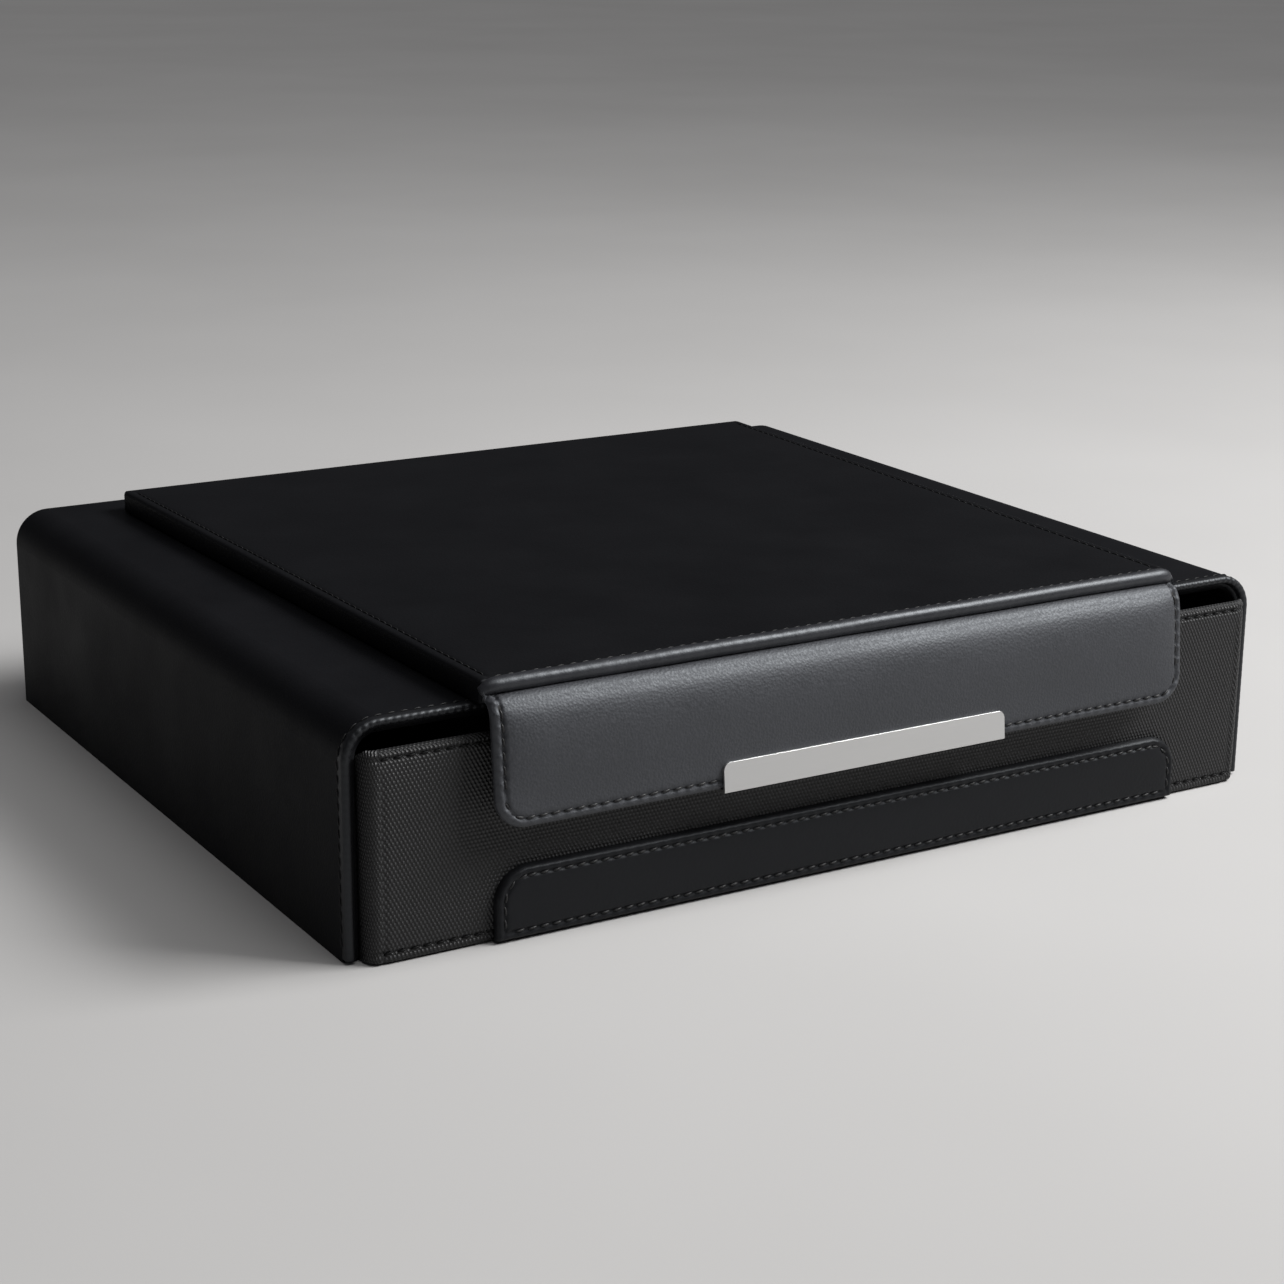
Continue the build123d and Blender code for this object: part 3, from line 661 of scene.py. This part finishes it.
def lid_stitches():
    pairs = []
    for side in (-1, 1):
        for s in between_holes(LID_FRONT_SEAM, LID_LENGTH - LID_SEAM_STOP):
            here, ahead = (side * (lid_half(LID_FRONT + v) - LID_SEAM_IN) for v in (s, s + LID_AHEAD))
            pairs.append(((here, s), (ahead, s + LID_AHEAD)))
    half = LID_HALF_FRONT - 1.5
    for x in between_holes(-half, half):
        pairs.append(((x, LID_FRONT_SEAM), (x + LID_AHEAD, LID_FRONT_SEAM)))
    sew("lid_stitching", on_surface(lid_point, pairs), MID_THREAD, "lid", 2.6, 0.23, 0.05)


BEAD_R = 2.1  # the piping's leather, fuller than its cord
BEAD_RISE = 0.25  # above the cord
BEAD_FORWARD = 0.2  # in front of the cord's middle
BEAD_END = 4.0  # length of each end that turns down
BEAD_STATIONS = 260
BEAD_TIP = 3  # rings that round off each tip
BEAD_TIP_STEP = 0.35
BEAD_TIP_LEAST = 0.12  # share of the radius left at the very tip


def extended(last, before):
    """The point one tip step past the last one."""
    step = np.array(last) - np.array(before)
    step /= np.linalg.norm(step)
    return tuple(np.array(last) + step * BEAD_TIP_STEP)


def piping():
    """Leather-covered bead along the lid's front edge, its ends turned down into the flap's sides."""
    y = PIPE_LOW[1] + PIPE_R - BEAD_FORWARD
    z = PIPE_HIGH[2] + BEAD_RISE - BEAD_R
    half = LID_HALF_FRONT - 0.6
    path, radii = [], []
    for x in np.linspace(-1, 1, BEAD_STATIONS) * half:
        near = max(0.0, (abs(x) - (half - BEAD_END)) / BEAD_END)
        path.append((x, y + 0.5 * near**2, z - 1.2 * near**2.5 + 0.05 * math.sin(x / 9.0)))
        uneven = 1 + 0.02 * math.sin(x / 3.1) + 0.015 * math.sin(x * 1.7)
        radii.append(BEAD_R * uneven * (1 - 0.25 * near**3))
    tips = [radii[-k] * max(BEAD_TIP_LEAST, math.sqrt(1 - (k / BEAD_TIP) ** 2)) for k in range(1, BEAD_TIP + 1)]
    radii = tips[::-1] + radii + tips
    for _ in tips:
        path = [extended(path[0], path[1])] + path + [extended(path[-1], path[-2])]
    bead = tube("lid_piping_bead", path, radii, PIPING_LEATHER, "lid", 24)
    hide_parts("lid_piping")


# ---------------------------------------------------------------- flap

BEND_Z = FLAP_TOP - FLAP_BEND
FLAP_BOTTOM = FLAP_LOW[2] + FLAP_T * math.sin(FLAP_LEAN)  # lower end of the outer face
HANG = (BEND_Z + FLAP_BEND * math.sin(FLAP_LEAN) - FLAP_BOTTOM) / math.cos(FLAP_LEAN)  # its flat part
BEND_Y = FLAP_LOW[1] + FLAP_BEND * math.cos(FLAP_LEAN) + HANG * math.sin(FLAP_LEAN)
BEND_RUN = FLAP_BEND * (math.pi / 2 - FLAP_LEAN - FLAP_START)  # along the bend from the flap's root
FLAP_RUN = BEND_RUN + HANG


def flap_point(s):
    """Point and outward normal on the flap's outer face, s down from its root."""
    s = np.asarray(s, dtype=float)
    angle = FLAP_START + np.minimum(s, BEND_RUN) / FLAP_BEND
    down = np.maximum(s - BEND_RUN, 0)
    ny = -np.sin(angle)
    nz = np.cos(angle)
    y = BEND_Y + FLAP_BEND * ny - down * math.sin(FLAP_LEAN)
    z = BEND_Z + FLAP_BEND * nz - down * math.cos(FLAP_LEAN)
    return y, z, ny, nz


FLAP_ROOT = -FLAP_BEND * math.radians(18.0)  # the leather carries on up to the piping
ABOVE_ROOT = 40.0  # the flap's outline starts this far above its root, so that the root has no edge


def flap_edge(x, s):
    """How far inside the flap's sides and lower edge a point lies."""
    return edge_distance(x, s + ABOVE_ROOT, FLAP_HALF, FLAP_RUN + ABOVE_ROOT, FLAP_ROOT_CORNER, FLAP_CORNER)


FLAP_EASE = 2.2  # how gently the bend runs out into the flat


def eased(s):
    """How far the leather cuts inside the bend's end: the bend and the flat, blurred together."""
    t = (BEND_RUN - s) / FLAP_EASE
    density = np.exp(-(t**2) / 2) / math.sqrt(2 * math.pi)
    share = 0.5 * (1 + np.vectorize(math.erf)(t / math.sqrt(2)))
    return FLAP_EASE**2 / (2 * FLAP_BEND) * ((t**2 + 1) * share + t * density - np.maximum(t, 0) ** 2)


FLAP_EDGE_FALL, FLAP_EDGE_ROLL = 1.5, 1.8  # depth and width of the rolled edges
BULGE, BULGE_START, BULGE_HIGH = 1.25, 3.0, 0.62  # its height, its upper end, and under 1 for a high crest
CREVICE, CREVICE_RUN = 1.1, 4.6  # the leather dips in under the piping
ROOT_THINNED = 1.9  # thickness lost at the piping, where a single leather is left


def flap_depth(x, s):
    """How far the flap's leather lies behind its outer surface."""
    d = flap_edge(x, s)
    along = np.where(FLAP_HALF - np.abs(x) < FLAP_RUN - s, s, x)
    depth = FLAP_EDGE_FALL * (1 - rolled(d, FLAP_EDGE_ROLL))
    depth = depth + seam_dip(d, along, 0.75, 0.5) - pucker(d, along, 0.34)
    swell = rolled(np.clip(d - SEAM_IN, 0, None), 12.0)
    fall = np.clip((s - BULGE_START) / (FLAP_RUN - BULGE_START), 0, 1)
    bulge = BULGE * np.sin(math.pi * fall**BULGE_HIGH) ** 2 * swell
    crevice = CREVICE * np.clip(1 - (s - FLAP_ROOT) / CREVICE_RUN, 0, 1) ** 2 + eased(s)
    return depth + crevice + 0.3 * (1 - swell) - bulge - 0.12 * wave(x, s * 2, 45, 11) * swell


def flap_thickness(s):
    """Full thickness below the bend, thinned to a single leather at the piping."""
    return FLAP_T - ROOT_THINNED * np.clip(-s / abs(FLAP_ROOT), 0, 1)


def flap_sheet():
    """The flap's leather, which bends between the lid and the hanging flap."""
    end = 10.0  # closer rows over this length at the root and at the foot
    rows = np.concatenate([np.linspace(FLAP_ROOT, end, 30), np.linspace(end, FLAP_RUN - end, 48),
                           FLAP_RUN - EDGE_STATIONS * end / EDGE_REACH])
    rows = np.unique(np.round(rows, 4))
    cols = (spaced(2 * FLAP_HALF, 0.57) - FLAP_HALF) / FLAP_HALF
    cut = corner_cut(rows + ABOVE_ROOT, FLAP_RUN + ABOVE_ROOT, FLAP_ROOT_CORNER, FLAP_CORNER)[:, None]
    x = cols[None, :] * (FLAP_HALF - cut)
    s = np.repeat(rows[:, None], len(cols), axis=1)
    y, z, ny, nz = flap_point(s)
    depth = flap_depth(x, s)
    outer = np.stack([x, y - ny * depth, z - nz * depth], axis=2)
    back = flap_thickness(s) - 1.0 * (1 - rolled(flap_edge(x, s), 1.2))
    inner = np.stack([x, y - ny * back, z - nz * back], axis=2)
    sheet = closed_panel("flap_leather_sheet", outer, inner, FLAP_LEATHER, None)
    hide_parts("flap_cover", "flap_lining")
    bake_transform(sheet)


def flap_place(x, s):
    """Point on the flap's leather and its normal."""
    y, z, ny, nz = (float(v) for v in flap_point(s))
    depth = float(flap_depth(np.array([x]), np.array([float(s)]))[0])
    return (x, y - ny * depth, z - nz * depth), (0, ny, nz)


def flap_stitches():
    r = FLAP_CORNER - SEAM_IN
    half = FLAP_HALF - SEAM_IN
    end = FLAP_RUN - SEAM_IN
    pairs = []
    for side in (-1, 1):
        pairs += [((side * half, s), (side * half, s + AHEAD)) for s in between_holes(0.5, end - r + 1)]
    pairs += round_corner(-half + r, end - r, r, math.pi, math.pi / 2, 2)
    pairs += round_corner(half - r, end - r, r, math.pi / 2, 0, 2)
    pairs += [((x, end), (x + AHEAD, end)) for x in between_holes(-half + r - 1, half - r + 1)
              if abs(x) > BAR_HALF + 1.5]
    # paler thread: painted highlight
    sew("flap_stitching", on_surface(flap_place, pairs), PAINTED_HIGHLIGHT_THREAD, "flap")


BAR_EASE = 0.05  # eased edges
FOLD_EASE, FOLD_CUT = 0.35, 0.1  # the bottom fold's rounding and its middle point
BAR_STATIONS = 41


def bar_section(top):
    """Round the folded bar, as (depth behind the flap's outer face, height above the flap's foot)."""
    back = FLAP_T + BAR_T
    return [(-BAR_T, FOLD_EASE - BAR_T), (-BAR_T, top - BAR_EASE), (BAR_EASE - BAR_T, top),
            (-BAR_EASE, top), (0, top - BAR_EASE), (0, 0),
            (FLAP_T, 0), (FLAP_T, BAR_BACK_H - BAR_EASE), (FLAP_T + BAR_EASE, BAR_BACK_H),
            (back - BAR_EASE, BAR_BACK_H), (back, BAR_BACK_H - BAR_EASE), (back, FOLD_EASE - BAR_T),
            (back - 0.12, FOLD_CUT - BAR_T), (back - FOLD_EASE, -BAR_T),
            (FOLD_EASE - BAR_T, -BAR_T), (0.12 - BAR_T, FOLD_CUT - BAR_T)]


def metal_bar():
    """Folded bar: face plate with two rounded corners, bottom fold and short back leg."""
    y0, z0, ny, nz = (float(v) for v in flap_point(FLAP_RUN))
    foot = np.array([0, y0, z0])
    up = np.array([0, math.sin(FLAP_LEAN), math.cos(FLAP_LEAN)])
    into = np.array([0, -ny, -nz])
    xs = np.linspace(-BAR_HALF, BAR_HALF, BAR_STATIONS)
    near = BAR_CORNER * (1 - np.cos(np.linspace(0, math.pi / 2, 8)))
    xs = np.unique(np.round(np.concatenate([-BAR_HALF + near, BAR_HALF - near, xs[3:-3]]), 4))
    points = []
    for x in xs:
        over = max(0, abs(x) - (BAR_HALF - BAR_CORNER))
        top = BAR_H - BAR_T - (BAR_CORNER - math.sqrt(max(BAR_CORNER**2 - over**2, 0)))
        section = bar_section(top)
        points += [np.array([x, 0, 0]) + foot + into * depth + up * height for depth, height in section]
    n = len(section)
    faces = ring_quads(len(xs), n, flip=True)
    for start, flip in ((0, False), ((len(xs) - 1) * n, True)):
        front = [start + k for k in (14, 15, 0, 1, 2, 3, 4, 5)]
        back = [start + k for k in (6, 7, 8, 9, 10, 11, 12, 13)]
        fold = [start + k for k in (5, 6, 13, 14)]
        for loop in (front, back, fold):
            faces.append(tuple(loop[::-1] if flip else loop))
    bar = add_mesh("flap_metal_bar", points, faces, BAR_METAL, "flap", False)
    bevel = bar.modifiers.new("edge", "BEVEL")
    bevel.width = 0.04 * MM
    bevel.segments = 2
    bevel.limit_method = "ANGLE"
    bevel.angle_limit = math.radians(40)
    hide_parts("flap_bar")


# ---------------------------------------------------------------- drawer front


HEM = 2.1  # seam below the top of the woven front
FOOT_SEAM = 2.6  # seam above its foot
FRONT_TOP_WIDTH = 1.3  # height over which the top edge rolls back
CREASE, CREASE_IN, CREASE_WIDTH = 0.3, 0.5, 0.8  # upright crease just inside each side roll
CREASE_FROM_TOP = 5  # it fades out this far below the top
FRONT_FOOT_FALL, FRONT_FOOT_ROLL = 0.8, 1.0
FRONT_EDGE_FALL, FRONT_EDGE_ROLL = 0.6, 0.8  # tight turn at the very side
FRONT_SWELL_RUN = 8  # the padding swells over this width inside the seams


def front_face(x, z):
    """Y of the woven face, rolled back at its top and sides."""
    side = FRONT_HALF + CLOTH_OUT - np.abs(x)
    drop = FRONT_SIDE_DROP * (1 - rolled(side, FRONT_SIDE_ROLL))
    from_top = FRONT_HIGH[2] - z
    from_foot = z - FRONT_LOW[2]
    top = FRONT_TOP_ROLL * (1 - rolled(from_top, FRONT_TOP_WIDTH))
    dip = seam_dip(from_top, x, 0.6, 0.5, HEM) + seam_dip(from_foot, x, 0.45, 0.5, FOOT_SEAM)
    lift = pucker(from_top, x, 0.15, HEM) + pucker(from_foot, x, 0.1, FOOT_SEAM)
    crease = CREASE * bell(side - FRONT_SIDE_ROLL - CREASE_IN, CREASE_WIDTH)
    crease = crease * rolled(np.clip(from_top - CREASE_FROM_TOP, 0, None), 8)
    foot = FRONT_FOOT_FALL * (1 - rolled(from_foot, FRONT_FOOT_ROLL))
    edge = FRONT_EDGE_FALL * (1 - rolled(side, FRONT_EDGE_ROLL))
    inside = rolled(np.clip(from_top - HEM, 0, None), FRONT_SWELL_RUN)
    inside = inside * rolled(np.clip(from_foot - FOOT_SEAM, 0, None), FRONT_SWELL_RUN)
    soft = 0.25 * (1 - inside) + 0.12 * np.abs(wave(x, z * 2, 55, 5)) * inside
    return FRONT_LOW[1] + drop + top + dip - lift + crease + foot + edge + soft


def woven_front():
    height = FRONT_HIGH[2] - FRONT_LOW[2]
    wide = FRONT_HALF + CLOTH_OUT
    zs = FRONT_LOW[2] + spaced(height, 1.0, 7.0)
    cols = (spaced(2 * wide, 0.6, 7.0) - wide) / wide
    first = np.clip(zs - (FRONT_HIGH[2] - FRONT_CORNER), 0, FRONT_CORNER)
    cut = FRONT_CORNER - np.sqrt(np.maximum(FRONT_CORNER**2 - first**2, 0))
    cut = cut[::-1][:, None]
    z = np.repeat(zs[::-1][:, None], len(cols), axis=1)
    x = cols[None, :] * (wide - cut)
    y = front_face(x, z)
    outer = np.stack([x, y, z], axis=2)
    back_y = np.maximum(FRONT_HIGH[1], y + 0.4)
    back_z = FRONT_LOW[2] + (z - FRONT_LOW[2]) * (1 - FRONT_TOP_FALL / height)
    inner = np.stack([x, back_y, back_z], axis=2)
    panel = closed_panel("drawer_woven_front", outer[:, ::-1], inner[:, ::-1], NYLON, "drawer")
    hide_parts("drawer_front_cover", "drawer_front_board")


def front_place(x, z):
    """Point on the woven front and its normal."""
    y = float(front_face(np.array([x]), np.array([float(z)]))[0])
    return (x, y, z), (0, -1, 0)


def front_stitches():
    half = FRONT_HALF - 0.6
    pairs = []
    for z in (FRONT_HIGH[2] - HEM, FRONT_LOW[2] + FOOT_SEAM):
        pairs += [((x, z), (x + AHEAD, z)) for x in between_holes(-half, half)]
    places = on_surface(front_place, pairs)
    # darkest thread: painted shade
    sew("drawer_front_stitching", places, PAINTED_SHADE_THREAD, "drawer", 2.5, 0.3)


PATCH_SEAM = 2.3
PATCH_RIGHT = 3.2  # the patch was glued on this far off the middle
PATCH_EDGE_FALL, PATCH_EDGE_ROLL = 0.85, 1.1  # share of its thickness, and width of its rolled edge


def patch_face(x, z):
    """Y of the patch's leather."""
    s = PATCH_HIGH[2] - z
    x = x - PATCH_RIGHT
    d = edge_distance(x, s, PATCH_HALF, PATCH_LENGTH, PATCH_CORNER, PATCH_FOOT_CORNER)
    along = np.where(PATCH_HALF - np.abs(x) < np.minimum(s, PATCH_LENGTH - s), z, x)
    y = PATCH_LOW[1] + PATCH_T * PATCH_EDGE_FALL * (1 - rolled(d, PATCH_EDGE_ROLL))
    y = y + seam_dip(d, along, 0.5, 0.5, PATCH_SEAM) - pucker(d, along, 0.15, PATCH_SEAM)
    swell = rolled(np.clip(d - PATCH_SEAM, 0, None), 5.0)
    return y + 0.25 * (1 - swell) + 0.06 * wave(x, z * 2, 40, 8) * swell


def leather_patch():
    s = np.unique(np.round(spaced(PATCH_LENGTH, 0.5, 5.5), 4))
    cols = (spaced(2 * PATCH_HALF, 0.57, 5.5) - PATCH_HALF) / PATCH_HALF
    cut = corner_cut(s, PATCH_LENGTH, PATCH_CORNER, PATCH_FOOT_CORNER)[:, None]
    x = cols[None, :] * (PATCH_HALF - cut) + PATCH_RIGHT
    z = np.repeat((PATCH_HIGH[2] - s)[:, None], len(cols), axis=1)
    y = patch_face(x, z)
    outer = np.stack([x, y, z], axis=2)
    inner = np.stack([x, np.full_like(x, PATCH_HIGH[1] + 0.1), z], axis=2)
    outer, inner = outer[:, ::-1], inner[:, ::-1]
    patch = closed_panel("drawer_leather_patch", outer, inner, PATCH_LEATHER, "drawer")
    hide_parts("drawer_front_patch")


def patch_place(x, z):
    """Point on the patch's leather and its normal, x from the patch's middle."""
    x += PATCH_RIGHT
    return (x, float(patch_face(np.array([x]), np.array([float(z)]))[0]), z), (0, -1, 0)


def patch_stitches():
    r = PATCH_CORNER - PATCH_SEAM
    half = PATCH_HALF - PATCH_SEAM
    top = PATCH_HIGH[2] - PATCH_SEAM
    low = PATCH_LOW[2] + PATCH_SEAM
    pairs = []
    for side in (-1, 1):
        pairs += [((side * half, z), (side * half, z + AHEAD)) for z in between_holes(low, top - r + 1)]
    pairs += round_corner(-half + r, top - r, r, math.pi, math.pi / 2, 3)
    pairs += round_corner(half - r, top - r, r, math.pi / 2, 0, 3)
    pairs += [((x, top), (x + AHEAD, top)) for x in between_holes(-half + r - 1, half - r + 1)]
    pairs += [((x, low), (x + AHEAD, low)) for x in between_holes(-half, half)]
    places = on_surface(patch_place, pairs)
    # paler thread: painted highlight
    sew("drawer_patch_stitching", places, PAINTED_HIGHLIGHT_THREAD, "drawer", 2.5, 0.3)


# ---------------------------------------------------------------- case edge


def arch_path(z_foot, step):
    """Up one side of the case, over it and down the other: x, z and the outward normal."""
    half, top, r = CASE_HALF, CASE_TOP, TOP_ROUND
    turn = [(math.cos(a), math.sin(a)) for a in np.linspace(0, math.pi / 2, int(r * math.pi / 2 / step))[1:-1]]
    sides = np.linspace(z_foot, top - r, int((top - r - z_foot) / step))
    points = [(-half, z, -1, 0) for z in sides]
    points += [(-half + r - r * c, top - r + r * s, -c, s) for c, s in turn]
    points += [(x, top, 0, 1) for x in np.linspace(-half + r, half - r, int(2 * (half - r) / step))]
    points += [(half - r + r * c, top - r + r * s, c, s) for c, s in turn[::-1]]
    points += [(half, z, 1, 0) for z in sides[::-1]]
    return np.array(points)


def path_run(path):
    """Distance along a path to each of its points."""
    return np.concatenate([[0], np.cumsum(np.hypot(*np.diff(path[:, :2], axis=0).T))])


RIM_BEAD = 1.05  # radius of the bead along the case's front edge
RIM_SIDE_EXTRA = 0.25  # how much wider it is half way up the case's sides
RIM_STITCH = 2.1  # pitch of its close overcast sewing
RIM_SLANT = 0.16  # radians of the sewing by which each line round the bead lags, so that it slants
RIDGE, RIDGE_TOP = 0.06, 0.2  # height of its ridges up the sides, and added over the top
RIM_WALL, RIM_WALL_TOP = 1.5, 0.85  # how deep the inner wall lies up the sides, and added over the top
RIM_BEHIND = 0.05  # behind the plane of the solid's front


def bound_edge():
    """Turned-over front edge: a bead ridged by close overcast sewing, and a recessed inner wall."""
    path = arch_path(BASE_TOP, 0.35)
    depth = BINDING_HIGH[1] - BINDING_LOW[1]
    points = []
    for (x, z, nx, nz), at in zip(path, path_run(path)):
        flat = np.clip((z - CASE_TOP + TOP_ROUND) / TOP_ROUND, 0, 1)  # 0 up the sides, 1 over the top
        height = RIDGE + RIDGE_TOP * flat
        bead = RIM_BEAD + RIM_SIDE_EXTRA * (1 - flat)
        wall = RIM_WALL + RIM_WALL_TOP * flat
        ring = [(0.0, depth, 0), (0.0, depth * 0.75, 0)]  # into the case, back from its front, out from it
        out = [0, 0]
        for a in np.linspace(0, math.pi, 15):
            ring.append((bead * (1 - math.cos(a)), RIM_BEAD * (1 - math.sin(a)), -math.cos(a)))
            out.append(math.sin(a))
        ring += [(2 * bead + 0.1, wall - 0.4, 0), (2 * bead + 0.4, wall - 0.2, 0), (WALL, wall, 0),
                 (WALL, depth, 0)]
        out += [0] * 4
        for k, ((into, back, out_into), face) in enumerate(zip(ring, out)):
            phase = 2 * math.pi * at / RIM_STITCH + RIM_SLANT * k
            ridge = height * (abs(math.cos(phase / 2)) ** 1.5 - 0.8) * face
            into = max(into + out_into * ridge, 0.0)
            back = back - face * ridge + RIM_BEHIND
            points.append((x - nx * into, CASE_FRONT + back, z - nz * into))
    n = len(ring)
    faces = ring_quads(len(path), n, flip=True) + ring_caps(len(path), n, flip=True)
    edge = add_mesh("case_bound_edge", points, faces, RIM_LEATHER, "case")
    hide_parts("front_binding")


CASE_SEAM_BACK = 2.9  # seam behind the case's front
CASE_SEAM_FOOT = 2.5  # its ends above the base


def case_stitches():
    """Seam behind the bound edge, up both sides and over the top."""
    path = arch_path(BASE_TOP + CASE_SEAM_FOOT, 0.5)
    run = path_run(path)
    y = CASE_FRONT + CASE_SEAM_BACK
    places = []
    for at in between_holes(0, run[-1]):
        x, z, nx, nz = (float(np.interp(at, run, path[:, k])) for k in range(4))
        x1, z1 = (float(np.interp(at + AHEAD, run, path[:, k])) for k in range(2))
        places.append(((x, y, z), (x1, y, z1), (nx, 0, nz)))
    sew("case_edge_stitching", places, MID_THREAD, "case", 2.5, 0.2, 0.06)


# ---------------------------------------------------------------- tray cushions


ROLL_SIDES = 40
ROLL_FOOT = 5.0  # height of its widest line
ROLL_END = 4.0  # length over which an end rounds off
ROLL_END_SIZE = 0.45  # share of its size at the very end
ROLL_WIDTH, ROLL_FOOT_WIDTH, ROLL_DRAWN_IN = 0.99, 0.92, -0.3  # drawn in below this part of its ring


def roll_point(c, d, size, puff, half, height):
    """A point of a roll's section, sideways and up, from its direction (c, d) in a circle."""
    width = half * size * (ROLL_WIDTH if d > ROLL_DRAWN_IN else ROLL_FOOT_WIDTH)
    y = width * abs(c) ** 0.8 * math.copysign(1, c) * puff
    if d < 0:
        return y, ROLL_FOOT * (1 - abs(d) ** 0.7)
    return y, ROLL_FOOT + (height - ROLL_FOOT) * size * d**0.85 * puff


def padded_rolls():
    """Each roll swells between its ends and is drawn in at its foot."""
    for node in sorted(n for n in frame["nodes"] if n.startswith("cufflink_roll_")):
        low, high = corners(node)
        number = int(node[-1])
        length, width, height = high - low
        middle = (high[1] + low[1]) / 2
        stations = spaced(length, 2.0, 5.0)
        points = []
        for s in stations:
            end = float(rolled(np.array(min(s, length - s)), ROLL_END))
            size = ROLL_END_SIZE + (1 - ROLL_END_SIZE) * end
            puff = 1 + 0.012 * math.sin(s / 11.0 + number) + 0.008 * math.sin(s / 4.3 + 2 * number)
            for k in range(ROLL_SIDES):
                a = 2 * math.pi * k / ROLL_SIDES
                y, z = roll_point(math.cos(a), math.sin(a), size, min(puff, 1.0), width / 2, height)
                points.append((low[0] + s, middle + y, low[2] + z))
        rings = len(stations)
        faces = ring_quads(rings, ROLL_SIDES, flip=True) + ring_caps(rings, ROLL_SIDES, flip=True)
        pad = add_mesh("padded_roll_" + node[-1], points, faces, CUSHION, "case")
        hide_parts(node)


# ---------------------------------------------------------------- studio

PHOTO_SIDE = 1284  # pixels
FOCAL = 2642.8  # pixels
SENSOR = 36.0  # mm
CAMERA_AT = (-376.08, -530.86, 250.16)  # from the middle of the case's front foot edge
AZIMUTH, ELEVATION, ROLL = (math.radians(v) for v in (-30.798, 16.387, 0.426))


def camera():
    back = Vector((math.sin(AZIMUTH) * math.cos(ELEVATION), -math.cos(AZIMUTH) * math.cos(ELEVATION),
                   math.sin(ELEVATION)))
    right = Vector((math.cos(AZIMUTH), math.sin(AZIMUTH), 0))
    up = right.cross(-back)
    right, up = (math.cos(ROLL) * right + math.sin(ROLL) * up, -math.sin(ROLL) * right + math.cos(ROLL) * up)
    data = bpy.data.cameras.new("camera")
    data.sensor_width = SENSOR
    data.lens = FOCAL / PHOTO_SIDE * SENSOR
    data.clip_start = 0.01
    data.clip_end = 50
    obj = bpy.data.objects.new("camera", data)
    x, y, z = CAMERA_AT
    place = Matrix((right, up, back)).transposed().to_4x4()
    place.translation = Vector((x, y + CASE_FRONT, z)) * MM
    obj.matrix_world = place
    bpy.context.scene.collection.objects.link(obj)
    bpy.context.scene.camera = obj


KEY_AT, KEY_TARGET = (0.90, -0.57, 1.05), (0.05, -0.1, 0.03)  # metres
KEY_SIZE = (0.86, 0.6)
KEY_WATTS = 31
SUN_HIGH = math.radians(70)  # above the floor
SUN_RIGHT = math.radians(20)  # to the right of the drawer's front
SUN_SPREAD = math.radians(50)
WORLD = (0.055, 0.055, 0.06, 1)
FLOOR_HALF = 8.0  # metres
FLOOR_TONE, FLOOR_DARK, FLOOR_LIGHT = (0.47, 0.463, 0.456), (0.455, 0.448, 0.441), (0.485, 0.478, 0.471)


def key_light():
    """Soft lamp from the right and above."""
    data = bpy.data.lights.new("key", "AREA")
    data.shape = "RECTANGLE"
    data.size, data.size_y = KEY_SIZE
    data.energy = KEY_WATTS
    obj = bpy.data.objects.new("key", data)
    obj.location = KEY_AT
    obj.rotation_euler = (Vector(KEY_TARGET) - Vector(KEY_AT)).to_track_quat("-Z", "Y").to_euler()
    bpy.context.scene.collection.objects.link(obj)


def even_light():
    """Even light over the whole floor, from high in front of the drawer."""
    data = bpy.data.lights.new("even", "SUN")
    data.energy = 1.0
    data.angle = SUN_SPREAD
    obj = bpy.data.objects.new("even", data)
    at = Vector((math.sin(SUN_RIGHT) * math.cos(SUN_HIGH), -math.cos(SUN_RIGHT) * math.cos(SUN_HIGH),
                 math.sin(SUN_HIGH)))
    obj.rotation_euler = (-at).to_track_quat("-Z", "Y").to_euler()
    bpy.context.scene.collection.objects.link(obj)


def studio():
    m = Nodes("floor_paper", FLOOR_TONE, 0.9, 0.05)
    m.colours(m.noise(3, 3), (0.3, FLOOR_DARK), (0.7, FLOOR_LIGHT))
    m.bump((m.noise(900, 2), 0.08, 0.1))
    mesh = bpy.data.meshes.new("floor")
    square = ((-1, -1), (1, -1), (1, 1), (-1, 1))
    mesh.from_pydata([(x * FLOOR_HALF, y * FLOOR_HALF, 0) for x, y in square], [], [(0, 1, 2, 3)])
    mesh.materials.append(m.material)
    floor = bpy.data.objects.new("floor", mesh)
    bpy.context.scene.collection.objects.link(floor)
    key_light()
    even_light()
    world = bpy.data.worlds.new("world")
    world.use_nodes = True
    world.node_tree.nodes["Background"].inputs["Color"].default_value = WORLD
    world.node_tree.nodes["Background"].inputs["Strength"].default_value = 1.0
    bpy.context.scene.world = world
    bpy.context.scene.view_settings.view_transform = "Standard"


dress_nodes()
lid_pad()
lid_stitches()
piping()
flap_sheet()
flap_stitches()
metal_bar()
woven_front()
front_stitches()
leather_patch()
patch_stitches()
bound_edge()
case_stitches()
padded_rolls()
camera()
studio()
